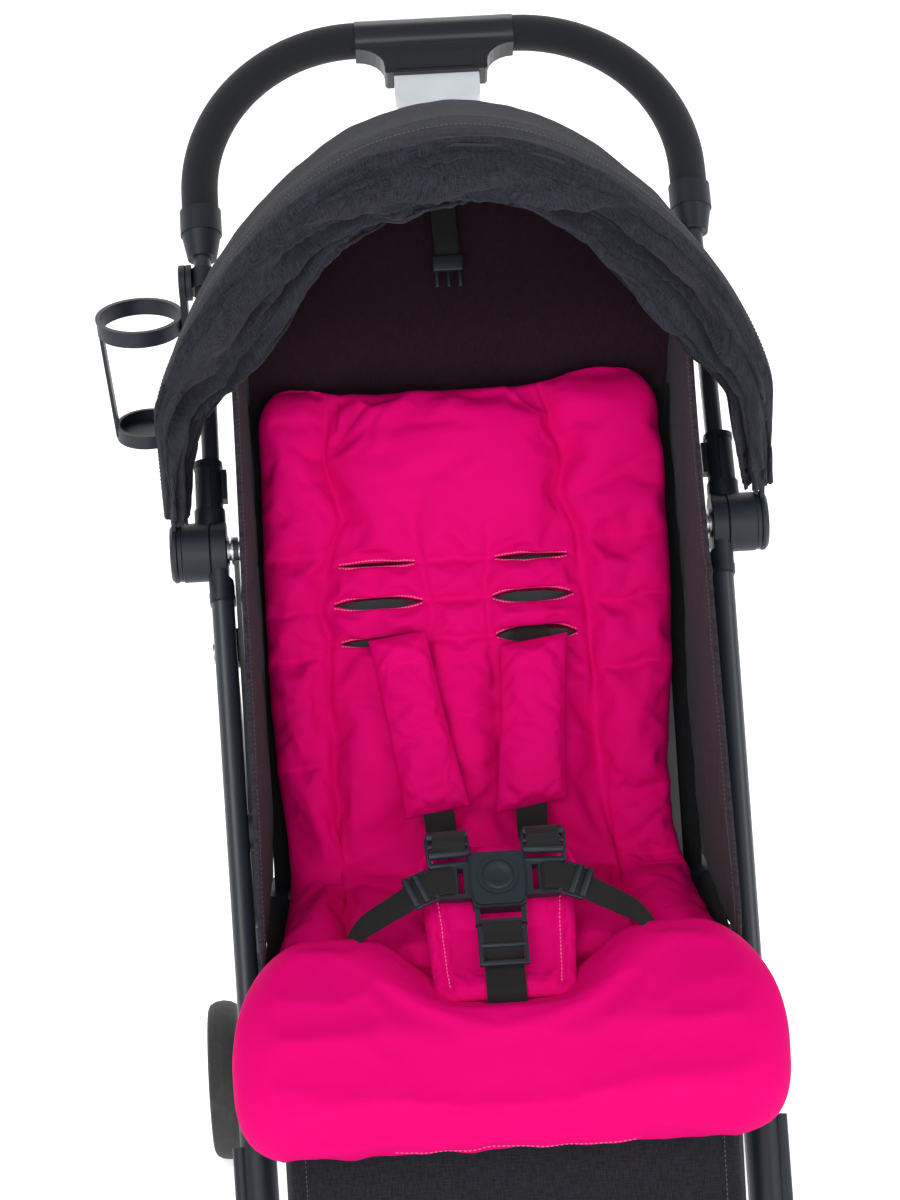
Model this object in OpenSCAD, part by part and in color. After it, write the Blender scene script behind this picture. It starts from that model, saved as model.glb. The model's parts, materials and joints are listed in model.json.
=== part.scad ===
// Folding child stroller with a telescoping hood, reclining back and padded seat liner.
// Units are millimetres, +Z is up, the front of the stroller faces -Y.

/* [Overall] */
// height of the main hinge axis above the floor
hinge_height = 663; // [645:1:680]
// overall width over the hinge caps
frame_width = 484; // [476:1:500]
// distance from the hinge axis to the grip axis, along the handle
handle_length = 462; // [440:1:480]
// slope of the handle above the horizontal
handle_angle = 51.3; // [48:0.1:56]
// lean of the front legs from the vertical
leg_lean = 34; // [31:0.5:36]

/* [Wheels] */
// diameter of the rear wheels
rear_wheel_d = 148; // [138:1:156]
// width of the rear tyres
rear_wheel_w = 28; // [22:1:30]
// diameter of the front wheels
front_wheel_d = 124; // [110:1:130]
// width of the front tyres
front_wheel_w = 24; // [18:1:26]
// distance of the front wheel axle behind its swivel axis
caster_trail = 25; // [15:1:30]

/* [Seat] */
// width of the padded liner on the back and seat
liner_width = 326; // [300:1:330]
// width of the front lobe of the liner
lobe_width = 414; // [380:1:420]
// length of the backrest above its pivot
back_length = 408; // [380:1:420]
// slope of the backrest above the horizontal
back_angle = 65.5; // [60:0.5:72]
// thickness of the padded liner
liner_thickness = 35; // [25:1:40]
// length of the calf rest
calf_length = 205; // [160:1:215]
// slope of the calf rest below the horizontal
calf_angle = 72; // [60:1:80]

/* [Hood] */
// largest radius of the hood about the hinge axis
hood_radius = 352; // [338:1:358]
// radius at which the hood sides begin to curve inwards
hood_side_radius = 125; // [118:1:135]
// how slender the hood arch is towards its sides
hood_slender = 1.5; // [1.2:0.1:1.7]
// angle of the front edge of the hood above the rear horizontal
hood_front_angle = 104; // [100:1:106]
// angle of the rear edge of the front hood section
hood_rear_angle = 65; // [63:1:70]

/* [Hinges] */
// radius of the hinge barrels
barrel_r = 24; // [22:0.5:26]
// radius of the main hinge pins
pin_r = 5; // [4:0.5:6]
// radial running clearance of every pin in its bore
run_gap = 0.05; // [0.02:0.01:0.1]
// side clearance between parts that turn against each other
side_gap = 0.3; // [0.2:0.05:0.5]

/* [Tubes] */
// width of the front leg tubes
leg_w = 18; // [16:1:20]
// depth of the front leg tubes
leg_d = 29; // [24:1:32]
// width of the handle tubes
tube_w = 14; // [12:1:16]
// depth of the handle tubes
tube_d = 20; // [16:1:24]
// wall thickness of the metal tubes
tube_wall = 1.8; // [1.2:0.1:2.5]
// radius of the foam grip
grip_r = 15.5; // [13:0.5:17]

/* [Cup holder] */
// outer radius of the cup holder ring
cup_r = 36; // [33:0.5:38]
// wall thickness of the cup holder ring
cup_wall = 3; // [2:0.5:4]
// height from the cup holder base to the top of its ring
cup_height = 112; // [90:1:120]

/* [Hidden] */
$fn = 64;

// main hinge stack, measured from the middle plane outwards
barrel_out = frame_width / 2;
cap_w = 5.7;
mid_cap_w = 3;
hub_w = 23;
cap_in = barrel_out - cap_w;
mid_cap_in = cap_in - side_gap - mid_cap_w;
hub_out = mid_cap_in - side_gap;
hub_in = hub_out - hub_w;
leg_barrel_out = hub_in - side_gap;
leg_barrel_w = 13;
leg_barrel_in = leg_barrel_out - leg_barrel_w;
washer_w = 4.8;
arm_w = 4;
arm_out = leg_barrel_in - washer_w;
arm_in = arm_out - arm_w;
bolt_head_h = 2.6;
bolt_head_r = 9;
leg_x = leg_barrel_out - leg_barrel_w / 2;

// overall placing: the bounding box is centred on the origin across the width
hinge_y = 51;
rear_axle_y = 256;
rear_wheel_in = 227;
rear_wheel_out = rear_wheel_in + rear_wheel_w;
handle_x = 207;
cup_x = handle_x + tube_w / 2 + 13 + cup_r;
cup_reach = cup_x + cup_r;
centre_shift = (cup_reach - rear_wheel_out) / 2;

// legs
toe_in = 1;
caster_top = front_wheel_d + 18;
leg_end = (hinge_height - caster_top - 4) / cos(leg_lean) - 20;
leg_tube_start = 44;
leg_tube_end = (hinge_height - 300) / cos(leg_lean);
lower_w = 27;
lower_d = 36;
socket_w = 20;
socket_d = 32;
socket_ring_h = 7;
edge_cut = 0.8;
bracket_t = 75;
bracket_n = -34;
bracket_r = 14;
cheek_w = 2.2;
rear_tube_w = 14;
rear_tube_d = 24;
rear_pin_r = 4;
pivot_y = hinge_y - bracket_t * sin(leg_lean) - bracket_n * cos(leg_lean);
pivot_z = hinge_height - bracket_t * cos(leg_lean) + bracket_n * sin(leg_lean);
rear_axle_z = rear_wheel_d / 2;
rear_len = sqrt(pow(rear_axle_y - pivot_y, 2) + pow(pivot_z - rear_axle_z, 2));
rear_slope = atan2(pivot_z - rear_axle_z, rear_axle_y - pivot_y);
cheek_in = arm_out + 0.2;
knuckle_in = cheek_in + cheek_w + side_gap;
rear_x = leg_x - bracket_t * sin(toe_in);
knuckle_out = 2 * rear_x - knuckle_in;
cheek_out_in = knuckle_out + side_gap;
axle_r = 5;
crossbar_r = 8;

// front casters
caster_y = hinge_y - leg_end * sin(leg_lean) - 36;
caster_x = leg_x - leg_end * sin(toe_in);
caster_post_h = 56;
caster_r = 17;
stem_r = 5;
fork_plate = 11;
front_axle_z = front_wheel_d / 2;
front_axle_y = caster_y + caster_trail;
fork_gap = front_wheel_w / 2 + 2;
fork_w = 4;

// seat frame
rail_x = 172;
rail_r = 8;
rail_z = 378;
seat_top = rail_z + 10;
board_h = 8;
front_edge_y = -250;
front_tube_z = rail_z - 2;
front_tube_r = 7;
back_pivot_y = -35;
back_pivot_z = 392;
back_axle_r = 7;
block_in = rail_x - rail_r;
block_out = arm_in - 6;
soft_gap = 0.5;
back_panel_h = 8;
back_frame_r = 6;
back_frame_x = 150;
wall_in = 180.5;
wall_t = 3;
liner_half = liner_width / 2;
lobe_half = lobe_width / 2;
calf_half = 172;
calf_h = 18;
leg_cross_t = 560;

// handle
sleeve_w = 22;
sleeve_d = 28;
sleeve_len = 76;
sleeve_foot = 34;
sleeve_rim = 4;
grip_bend = 139;
grip_start = handle_length - grip_bend;
collar_top = handle_length - 156;
collar_end = handle_length - 200;
collar_r = 17.5;
collar_low_r = 12.2;
core_r = 8;
housing_half = 68;
skirt_half = 44;
skirt_front = 13.5;
waist_front = 11.4;
panel_half = 33;
housing_top = handle_length + 17;
housing_mid = handle_length - 15;
housing_low = handle_length - 41;
housing_h = 33;
button_half = 36.5;
button_h = 18;
button_low = handle_length - 64;
button_len = 32;
button_travel = 8;
button_gap = 0.5;

// hood shells, from the outside inwards
shell_t = 3;
hood_out = barrel_out + 1;
hood_low_r = 60;
bow_half = hood_out - shell_t - side_gap;
mid_half = bow_half - shell_t - 2 * side_gap;
bow_r = hood_radius - shell_t - side_gap;
mid_r = bow_r - shell_t - side_gap;
mid_front_angle = hood_front_angle - 5;
mid_rear_angle = hood_rear_angle - 3;
post_w = 10;
post_ring_r = 34;
post_ring_h = 7;

// cup holder
cup_s = handle_length - 221;
cup_y = hinge_y + cup_s * cos(handle_angle);
cup_z = hinge_height + cup_s * sin(handle_angle);
cup_boss_r = 15;
cup_boss_w = 6;
cup_pin_r = 4;
cup_drop = 27;
cup_tilt = 10;
cup_band = 14;
cup_low_r = 28;
cup_low_band = 12;
cup_post_w = 15;

// basket and harness
basket_half = 172;
basket_front = -105;
basket_rear = 190;
basket_low = 172;
basket_top = 326;
basket_t = 3;
strap_w = 25;
strap_t = 2;
buckle_y = -190;
buckle_z = seat_top + liner_thickness + 43;
button_r = 12;
buckle_tilt = 40;

// which sub-part to draw, or all of them

// ---------- shared shapes ----------

// moves every sub-part so that the whole stands centred on the origin
module place() {
    translate([centre_shift, 0, 0]) children();
}

// extrudes a side profile, drawn as (y, z), from x0 to x1
module side_slab(x0, x1) {
    translate([min(x0, x1), 0, 0])
        rotate([90, 0, 90])
            linear_extrude(height = abs(x1 - x0))
                children();
}

// round bar across the stroller between x0 and x1
module bar_x(x0, x1, y, z, r) {
    translate([min(x0, x1), y, z])
        rotate([0, 90, 0])
            cylinder(h = abs(x1 - x0), r = r);
}

// round barrel section across the stroller with its two edges broken by e
module drum_x(x0, x1, y, z, r, e) {
    w = abs(x1 - x0);
    translate([min(x0, x1), y, z])
        rotate([0, 90, 0])
            rotate_extrude()
                polygon([[0, 0], [r - e, 0], [r, e], [r, w - e], [r - e, w], [0, w]]);
}

// flat-sided oval, w across and d deep
module oval(w, d) {
    square([w, d - w], center = true);
    translate([0, (d - w) / 2]) circle(d = w);
    translate([0, -(d - w) / 2]) circle(d = w);
}

// oval tube wall
module oval_ring(w, d) {
    difference() {
        oval(w, d);
        oval(w - 2 * tube_wall, d - 2 * tube_wall);
    }
}

// local z runs down the front leg from the hinge axis, local y points forwards and up
module leg_frame(side) {
    translate([side * leg_x, hinge_y, hinge_height])
        rotate([180 - leg_lean, 0, 0])
            rotate([0, -side * toe_in, 0])
                children();
}

// local y runs up the handle from the hinge axis, local z points forwards and up
module handle_frame() {
    translate([0, hinge_y, hinge_height])
        rotate([handle_angle, 0, 0])
            children();
}

// local z runs down the rear leg from its pivot
module rear_frame(side) {
    translate([side * rear_x, pivot_y, pivot_z])
        rotate([-90 - rear_slope, 0, 0])
            children();
}

// local y runs up the backrest from its pivot, local z points forwards
module back_frame_at() {
    translate([0, back_pivot_y, back_pivot_z])
        rotate([back_angle, 0, 0])
            children();
}

// local y runs up the calf rest towards its pivot, local z points forwards
module calf_frame() {
    translate([0, front_edge_y, front_tube_z])
        rotate([calf_angle, 0, 0])
            children();
}

// radius of the hood arch at an angle round it
function arch_radius(a, top) = hood_side_radius + (top - hood_side_radius) * pow(abs(sin(a)), hood_slender);

// half profile of a hood section, radius against the distance from the middle plane
function arch(half, top, low) = concat(
    [[low, -half]],
    [for (a = [180:-6:0]) [arch_radius(a, top), half * cos(a)]],
    [[low, half]]
);

// hood shell turned about the hinge axis between two angles
module hood_shell(half, top, low, a0, a1) {
    translate([0, hinge_y, hinge_height])
        rotate([90, 0, 90])
            rotate([0, 0, a0])
                rotate_extrude(angle = a1 - a0)
                    polygon(concat(
                        arch(half, top, low),
                        reversed(arch(half - shell_t, top - shell_t, low))
                    ));
}

function reversed(list) = [for (i = [len(list) - 1:-1:0]) list[i]];

// ---------- front legs and hinge ----------

// oval aluminium front leg tube
module front_leg(side) {
    leg_frame(side)
        translate([0, 0, leg_tube_start])
            linear_extrude(height = leg_tube_end - leg_tube_start)
                oval_ring(leg_w, leg_d);
}

module front_leg_left() {
    color("dimgray") place() front_leg(1);
}

module front_leg_right() {
    color("dimgray") place() front_leg(-1);
}

// inner hinge barrel with the socket and collar that take the top of the leg
module leg_housing(side) {
    difference() {
        union() {
            drum_x(side * leg_barrel_in, side * leg_barrel_out, hinge_y, hinge_height, barrel_r, edge_cut);
            leg_frame(side) {
                linear_extrude(height = leg_tube_start)
                    oval(socket_w, socket_d);
                translate([0, 0, leg_tube_start - socket_ring_h])
                    linear_extrude(height = socket_ring_h)
                        oval(socket_w + 0.6, socket_d + 4);
            }
        }
        bar_x(side * (leg_barrel_in - 9), side * leg_barrel_in, hinge_y, hinge_height, barrel_r + 4);
        bar_x(side * leg_barrel_out, side * (hub_out + 1), hinge_y, hinge_height, barrel_r + 0.6);
        bar_x(side * arm_in, side * hub_out, hinge_y, hinge_height, pin_r + run_gap);
    }
}

module leg_housing_left() {
    color("black") place() leg_housing(1);
}

module leg_housing_right() {
    color("black") place() leg_housing(-1);
}

// steel pins through both hinges, with their flat inner heads and stacked washers
module hinge_pins() {
    color("silver") place() for (side = [-1, 1]) {
        bar_x(side * arm_out, side * (arm_out + 1.5), hinge_y, hinge_height, 12);
        bar_x(side * (arm_out + 1.5), side * (arm_out + 3.3), hinge_y, hinge_height, 8.5);
        bar_x(side * (arm_out + 3.3), side * leg_barrel_in, hinge_y, hinge_height, 12);
        bar_x(side * arm_in, side * (barrel_out - 2), hinge_y, hinge_height, pin_r);
        bar_x(side * (arm_in - bolt_head_h), side * arm_in, hinge_y, hinge_height, bolt_head_r);
    }
}

// plastic shoe at the foot of the leg with the caster socket
module lower_housing(side) {
    difference() {
        union() {
            leg_frame(side) {
                translate([0, 0, leg_tube_end])
                    linear_extrude(height = leg_end - leg_tube_end)
                        oval(lower_w, lower_d);
                translate([side * lower_w / 2, 0, leg_tube_end + 40])
                    linear_extrude(height = 70)
                        oval(12, 26);
            }
            translate([side * caster_x, caster_y, caster_top])
                cylinder(h = caster_post_h, r = caster_r);
            translate([side * caster_x - 10, caster_y, caster_top + 6])
                cube([20, 46, 38]);
        }
        translate([side * caster_x, caster_y, caster_top - 30])
            cylinder(h = 30, r = caster_r + 40);
        translate([side * caster_x, caster_y, caster_top - 1])
            cylinder(h = 41, r = stem_r + run_gap);
        bar_x(side * (caster_x - 40), side * (caster_x + 40),
            hinge_y - leg_cross_t * sin(leg_lean), hinge_height - leg_cross_t * cos(leg_lean), crossbar_r);
    }
}

module lower_housing_left() {
    color("black") place() lower_housing(1);
}

module lower_housing_right() {
    color("black") place() lower_housing(-1);
}

// tube that ties the feet of the two front legs together
module front_crossbar() {
    color("dimgray") place()
        bar_x(-caster_x, caster_x,
            hinge_y - leg_cross_t * sin(leg_lean), hinge_height - leg_cross_t * cos(leg_lean), crossbar_r);
}

// clevis on each front leg that carries the top of the rear leg
module rear_leg_brackets() {
    color("black") place() for (side = [-1, 1]) {
        difference() {
            union() {
                for (x = [cheek_in, cheek_out_in])
                    side_slab(side * x, side * (x + cheek_w))
                        cheek_profile();
                side_slab(side * cheek_in, side * (cheek_out_in + cheek_w))
                    cheek_root();
            }
            bar_x(side * (cheek_in - 1), side * (cheek_out_in + cheek_w + 1),
                pivot_y, pivot_z, rear_pin_r + run_gap);
        }
    }
}

// side outline of a clevis cheek, from the back of the leg to the pivot
module cheek_profile() {
    translate([pivot_y, pivot_z]) circle(r = bracket_r);
    translate([pivot_y, pivot_z])
        rotate(180 - leg_lean)
            translate([0, -bracket_r])
                square([-bracket_n - leg_d / 2 - 0.2, 2 * bracket_r]);
}

// side outline of the plate that joins the two cheeks behind the leg
module cheek_root() {
    translate([pivot_y, pivot_z])
        rotate(180 - leg_lean)
            translate([-bracket_n - leg_d / 2 - 3.2, -bracket_r])
                square([3, 2 * bracket_r]);
}

// pins at the tops of the rear legs
module rear_leg_pins() {
    color("silver") place() for (side = [-1, 1]) {
        bar_x(side * cheek_in, side * (cheek_out_in + cheek_w), pivot_y, pivot_z, rear_pin_r);
        bar_x(side * (cheek_out_in + cheek_w), side * (cheek_out_in + cheek_w + 2), pivot_y, pivot_z, 7);
    }
}

// plastic rings riveted to the inner faces of the legs
module strap_rings() {
    ring_t = 232;
    ring_x = leg_x - ring_t * sin(toe_in);
    color("black") place() for (side = [-1, 1]) {
        leg_frame(side)
            translate([-side * (leg_w / 2 + 2.4), 2, ring_t])
                rotate([0, 90, 0])
                    difference() {
                        cylinder(h = 4, r = 15, center = true);
                        cylinder(h = 5, r = 10.5, center = true);
                    }
    }
}

// ---------- seat frame ----------

// two side rails, the front cross tube and the backrest axle
module seat_rails() {
    color("dimgray") place() {
        for (side = [-1, 1]) {
            translate([side * rail_x, front_edge_y + 12, rail_z])
                rotate([-90, 0, 0])
                    cylinder(h = back_pivot_y - 17 - front_edge_y - 12, r = rail_r);
        }
        bar_x(-block_in, block_in, front_edge_y, front_tube_z, front_tube_r);
        bar_x(-block_in, block_in, back_pivot_y, back_pivot_z, back_axle_r);
    }
}

// flat links from the hinges down to the rear of the seat rails
module seat_arms() {
    dy = back_pivot_y - hinge_y;
    dz = rail_z - hinge_height;
    length = sqrt(dy * dy + dz * dz);
    color("dimgray") place() for (side = [-1, 1]) {
        difference() {
            side_slab(side * arm_in, side * arm_out) {
                translate([hinge_y, hinge_height]) circle(r = 11);
                translate([back_pivot_y, rail_z]) circle(r = 10);
                translate([hinge_y, hinge_height])
                    rotate(atan2(dz, dy))
                        translate([0, -8])
                            square([length, 16]);
            }
            bar_x(side * (arm_in - 1), side * (arm_out + 1), hinge_y, hinge_height, pin_r + run_gap);
        }
    }
}

// plastic end blocks of the rails and the clamps that join the rails to the legs
module seat_blocks() {
    leg_y = hinge_y - (hinge_height - rail_z) * tan(leg_lean);
    leg_face = leg_x - (hinge_height - rail_z) / cos(leg_lean) * sin(toe_in) - leg_w / 2 - 0.4;
    color("black") place() for (side = [-1, 1]) {
        // front corner
        side_slab(side * block_in, side * block_out)
            translate([front_edge_y - 9, rail_z - 9])
                square([21, 19]);
        // rear corner with its spacer to the seat arm
        side_slab(side * block_in, side * block_out)
            translate([back_pivot_y - 17, rail_z - 10])
                square([32, 34]);
        bar_x(side * block_out, side * arm_in, back_pivot_y, rail_z, 8);
        // clamp round the rail beside the front leg
        difference() {
            side_slab(side * rail_x, side * leg_face)
                translate([leg_y - 12, rail_z - 12])
                    square([24, 24]);
            translate([side * rail_x, leg_y - 13, rail_z])
                rotate([-90, 0, 0])
                    cylinder(h = 26, r = rail_r);
        }
    }
}

// stiffened fabric board between the rails
module seat_board() {
    color("dimgray") place()
        side_slab(-block_in + 0.3, block_in - 0.3)
            translate([front_edge_y + 13, seat_top - board_h])
                square([back_pivot_y - 14 - front_edge_y - 13, board_h]);
}

// ---------- seat fabrics ----------

// seat part of the padded liner
module liner_seat() {
    color("deeppink") place()
        side_slab(-liner_half, liner_half)
            translate([front_edge_y + 47, seat_top + soft_gap])
                square([back_pivot_y - 22 - front_edge_y - 47, liner_thickness]);
}

// triangular fabric walls beside the seat
module side_panel(side) {
    side_slab(side * wall_in, side * (wall_in + wall_t))
        polygon([
            [front_edge_y + 46.4, seat_top + 8], [front_edge_y + 49, seat_top + 50],
            [-70, 640], [10, 752], [52, 845],
            [122, 850], [150, 790], [52, 560], [10, 470], [back_pivot_y + 30, back_pivot_z + 20],
            [back_pivot_y - 20, back_pivot_z + 14]
        ]);
}

module side_panel_left() {
    color("gray") place() side_panel(1);
}

module side_panel_right() {
    color("gray") place() side_panel(-1);
}

// open fabric basket under the seat
module basket() {
    color("gray") place()
        difference() {
            side_slab(-basket_half, basket_half)
                basket_outline(0);
            side_slab(-basket_half + basket_t, basket_half - basket_t)
                basket_outline(basket_t);
        }
}

// side outline of the basket, shrunk by g and open at the top
module basket_outline(g) {
    polygon([
        [basket_front + g, basket_top + g], [basket_rear - g, basket_top + g],
        [basket_rear - 18 - g, basket_low + g], [basket_front + 18 + g, basket_low + g]
    ]);
}

// webbing that hangs the basket from the rails and from the seat arms
module basket_straps() {
    top_y = hinge_y - 0.31 * 140;
    top_z = hinge_height - 140;
    color("black") place() for (side = [-1, 1]) {
        side_slab(side * basket_half, side * (basket_half + strap_t))
            translate([basket_front + 10, basket_top - 30])
                square([20, rail_z - rail_r - basket_top + 30]);
        side_slab(side * (arm_in - strap_t), side * arm_in)
            polygon([
                [top_y - 8, top_z + 6], [top_y + 6, top_z + 8],
                [basket_rear - 8, basket_top - 12], [basket_rear - 28, basket_top - 16]
            ]);
        side_slab(side * basket_half, side * arm_in)
            translate([basket_rear - 30, basket_top - 30])
                square([22, 16]);
    }
}

// ---------- harness ----------

// frame of the buckle: local z points out of its face
module buckle_frame() {
    translate([0, buckle_y, buckle_z])
        rotate([buckle_tilt, 0, 0])
            children();
}

// waist and crotch straps of the harness
module lap_harness() {
    slope = 28;
    length = 64;
    color("black") place() {
        for (side = [-1, 1]) {
            translate([side * 53.5, buckle_y, buckle_z - 1])
                rotate([0, side * slope, 0])
                    translate([side * length / 2, 0, 0])
                        rotate([24, 0, 0])
                            cube([length, strap_w, strap_t], center = true);
        }
        buckle_frame()
            translate([-strap_w / 2, -52.5, -1])
                cube([strap_w, 17.5, strap_t]);
    }
}

// quilted pad behind the buckle
module crotch_pad() {
    color("deeppink") place()
        side_slab(-50, 50)
            translate([front_edge_y + 50, seat_top + liner_thickness + 2 * soft_gap])
                rotate(4)
                    square([86, 14]);
}

// buckle body with its raised ring, side tongues and the bar for the crotch strap
module buckle() {
    color("black") place()
        buckle_frame()
            difference() {
                union() {
                    translate([0, 0, -7]) linear_extrude(height = 12) polygon(buckle_outline(0));
                    translate([0, 0, 4.9]) linear_extrude(height = 2.1) polygon(buckle_outline(1.6));
                    translate([0, 3, 0]) cylinder(h = 8, r = 15.5);
                    for (side = [-1, 1]) {
                        translate([0, 0, -4]) linear_extrude(height = 8) polygon([
                            [side * 18, 15], [side * 45, 15], [side * 52, 8],
                            [side * 52, -6], [side * 45, -13], [side * 18, -13]
                        ]);
                        translate([side * 17.5, -27, 0]) cube([4, 16, 6], center = true);
                    }
                    translate([0, -33, 0]) cube([39, 4, 6], center = true);
                }
                for (side = [-1, 1]) {
                    translate([side * 28.5, 1, 0]) cube([5, 21, 10], center = true);
                    translate([side * 42, 1, 0]) cube([6, 19, 10], center = true);
                }
                translate([0, 3, 2]) cylinder(h = 8, r = button_r + run_gap);
            }
}

// face outline of the buckle body, drawn in by g
function buckle_outline(g) = [
    [-17 + g, 24 - g], [17 - g, 24 - g], [20.5 - g, 20 - g], [21.8 - g, 6], [21.8 - g, -8],
    [20 - g, -19 + g], [17 - g, -22 + g], [-17 + g, -22 + g], [-20 + g, -19 + g],
    [-21.8 + g, -8], [-21.8 + g, 6], [-20.5 + g, 20 - g]
];

// round dished release button in the middle of the buckle
module buckle_button() {
    color("black") place()
        buckle_frame()
            translate([0, 3, 4.6])
                rotate_extrude()
                    polygon([
                        [0, 0], [button_r, 0], [button_r, 3.9], [button_r - 1.2, 5.1],
                        [9, 5.1], [5, 4.3], [0, 4.1]
                    ]);
}

// ---------- handle ----------

// hinge hub with the stepped sleeve and latch rib at the foot of a handle tube
module handle_hub(side) {
    difference() {
        union() {
            drum_x(side * hub_in, side * hub_out, hinge_y, hinge_height, barrel_r, edge_cut);
            handle_frame() translate([side * (handle_x + 2.5), 0, 0]) {
                rotate([-90, 0, 0]) {
                    linear_extrude(height = sleeve_len)
                        oval(sleeve_w, sleeve_d);
                    linear_extrude(height = sleeve_foot)
                        oval(sleeve_w + 3, sleeve_d + 4);
                    translate([0, 0, sleeve_len - sleeve_rim])
                        linear_extrude(height = sleeve_rim)
                            oval(sleeve_w + 1.6, sleeve_d + 1.6);
                }
                translate([0, 50, sleeve_d / 2 + 1])
                    cube([4, 36, 6], center = true);
                translate([-side * (sleeve_w / 2 + 1), 56, 0])
                    cube([6, 26, 12], center = true);
            }
        }
        bar_x(side * (leg_barrel_in - 20), side * hub_in, hinge_y, hinge_height, barrel_r + 0.6);
        bar_x(side * hub_out, side * (barrel_out + 4), hinge_y, hinge_height, barrel_r + 12);
        bar_x(side * leg_barrel_in, side * (hub_out + 1), hinge_y, hinge_height, pin_r + run_gap);
        handle_frame()
            translate([side * handle_x, sleeve_len - 14, 0])
                rotate([-90, 0, 0])
                    linear_extrude(height = 20)
                        oval(tube_w, tube_d);
    }
}

module handle_hub_left() {
    color("black") place() handle_hub(1);
}

module handle_hub_right() {
    color("black") place() handle_hub(-1);
}

// oval side tubes between the hubs and the collars
module handle_tubes() {
    color("dimgray") place() handle_frame() for (side = [-1, 1]) {
        translate([side * handle_x, sleeve_len - 14, 0])
            rotate([-90, 0, 0])
                linear_extrude(height = collar_end - sleeve_len + 14)
                    oval_ring(tube_w, tube_d);
    }
}

// path of the round grip tube with radius r, x from the middle plane
module grip_sweep(side, r, from_x, from_s) {
    translate([side * housing_half, grip_start, 0])
        rotate([0, 0, side > 0 ? 0 : 90])
            rotate_extrude(angle = 90)
                translate([grip_bend, 0])
                    circle(r = r);
    translate([side * handle_x, from_s, 0])
        rotate([-90, 0, 0])
            cylinder(h = grip_start - from_s, r = r);
    translate([side * from_x, handle_length, 0])
        rotate([0, side * 90, 0])
            cylinder(h = housing_half - from_x, r = r);
}

// bent tube inside the grips and the housing
module handle_bow() {
    color("dimgray") place() handle_frame() {
        for (side = [-1, 1]) grip_sweep(side, core_r, 0, collar_top - 12);
    }
}

// stepped collars where the bent tube slides into the side tubes
module handle_collars() {
    color("black") place() handle_frame() for (side = [-1, 1]) {
        translate([side * handle_x, 0, 0])
            rotate([-90, 0, 0])
                difference() {
                    union() {
                        translate([0, 0, collar_end])
                            cylinder(h = 22, r1 = collar_low_r, r2 = collar_r - 1);
                        translate([0, 0, collar_end + 22])
                            cylinder(h = collar_top - collar_end - 22, r = collar_r);
                    }
                    translate([0, 0, collar_top - 12])
                        cylinder(h = 13, r = core_r);
                }
    }
}

// foam sleeve on one side of the handle
module grip(side) {
    handle_frame()
        difference() {
            grip_sweep(side, grip_r, housing_half - 0.01, collar_top + 0.2);
            grip_sweep(side, core_r + run_gap, housing_half - 20, collar_top - 1);
        }
}

module grip_left() {
    color("black") place() grip(1);
}

module grip_right() {
    color("black") place() grip(-1);
}

// centre housing of the handle: a round barrel that flares into a skirt with a flat front panel
module handle_housing() {
    drop = housing_mid - housing_low - 8;
    flare = [
        for (a = [0:15:90])
            [housing_half - (housing_half - skirt_half) * sin(a), housing_low + 8 + drop * cos(a)]
    ];
    half = concat(
        [[0, housing_top], [housing_half, housing_top], [housing_half, housing_mid]],
        flare,
        [[skirt_half, housing_low + 2], [skirt_half - 2, housing_low], [0, housing_low]]
    );
    color("black") place() handle_frame()
        difference() {
            union() {
                intersection() {
                    translate([0, 0, -housing_h / 2])
                        linear_extrude(height = housing_h) {
                            polygon(half);
                            mirror([1, 0]) polygon(half);
                        }
                    side_slab(-housing_half, housing_half) housing_section();
                }
                translate([0, housing_low + 4, 0])
                    linear_extrude(height = skirt_front + 0.8)
                        polygon([
                            [-panel_half, 0], [panel_half, 0],
                            [panel_half - 2, 15], [2 - panel_half, 15]
                        ]);
                translate([2 - skirt_half, housing_low, 0])
                    cube([2 * skirt_half - 4, 2.4, skirt_front + 1.6]);
            }
            translate([-housing_half - 1, handle_length, 0])
                rotate([0, 90, 0])
                    cylinder(h = 2 * housing_half + 2, r = core_r);
            translate([-button_half - button_gap, button_low - 5, -button_h / 2 - button_gap])
                cube([
                    2 * (button_half + button_gap), button_len + button_travel + 6,
                    button_h + 2 * button_gap
                ]);
        }
}

// cross-section of the housing: the round barrel above and the thinner skirt below
module housing_section() {
    translate([handle_length, 0]) circle(r = housing_h / 2);
    polygon([
        [handle_length, housing_h / 2 - 2], [handle_length - 13, waist_front],
        [housing_low + 20, waist_front], [housing_low + 6, skirt_front], [housing_low, skirt_front],
        [housing_low, 1 - skirt_front], [handle_length - 13, -waist_front - 1],
        [handle_length, 2 - housing_h / 2]
    ]);
}

// sliding fold button below the housing, rounded at its lower corners
module fold_button() {
    corner = 5;
    color("lightgray") place() handle_frame()
        translate([0, button_low, -button_h / 2])
            linear_extrude(height = button_h) {
                translate([-button_half, corner]) square([2 * button_half, button_len - corner]);
                translate([-button_half + corner, 0]) square([2 * (button_half - corner), button_len]);
                for (side = [-1, 1])
                    translate([side * (button_half - corner), corner]) circle(r = corner);
            }
}

// ---------- cup holder ----------

// clamp on the handle tube with the pin of the cup holder
module cup_clamp() {
    color("black") place() {
        handle_frame()
            translate([-handle_x, cup_s - 9, 0])
                rotate([-90, 0, 0])
                    linear_extrude(height = 18)
                        difference() {
                            oval(tube_w + 7, tube_d + 7);
                            oval(tube_w, tube_d);
                        }
        difference() {
            bar_x(-handle_x - tube_w / 2 - 2.5, -handle_x - tube_w / 2 - 7, cup_y, cup_z, cup_boss_r);
            handle_frame()
                translate([-handle_x, cup_s - 30, 0])
                    rotate([-90, 0, 0])
                        linear_extrude(height = 60)
                            oval(tube_w + 2, tube_d + 2);
        }
        bar_x(-handle_x - tube_w / 2 - 6, -handle_x - tube_w / 2 - 5.5 - cup_boss_w, cup_y, cup_z, cup_pin_r);
    }
}

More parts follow.
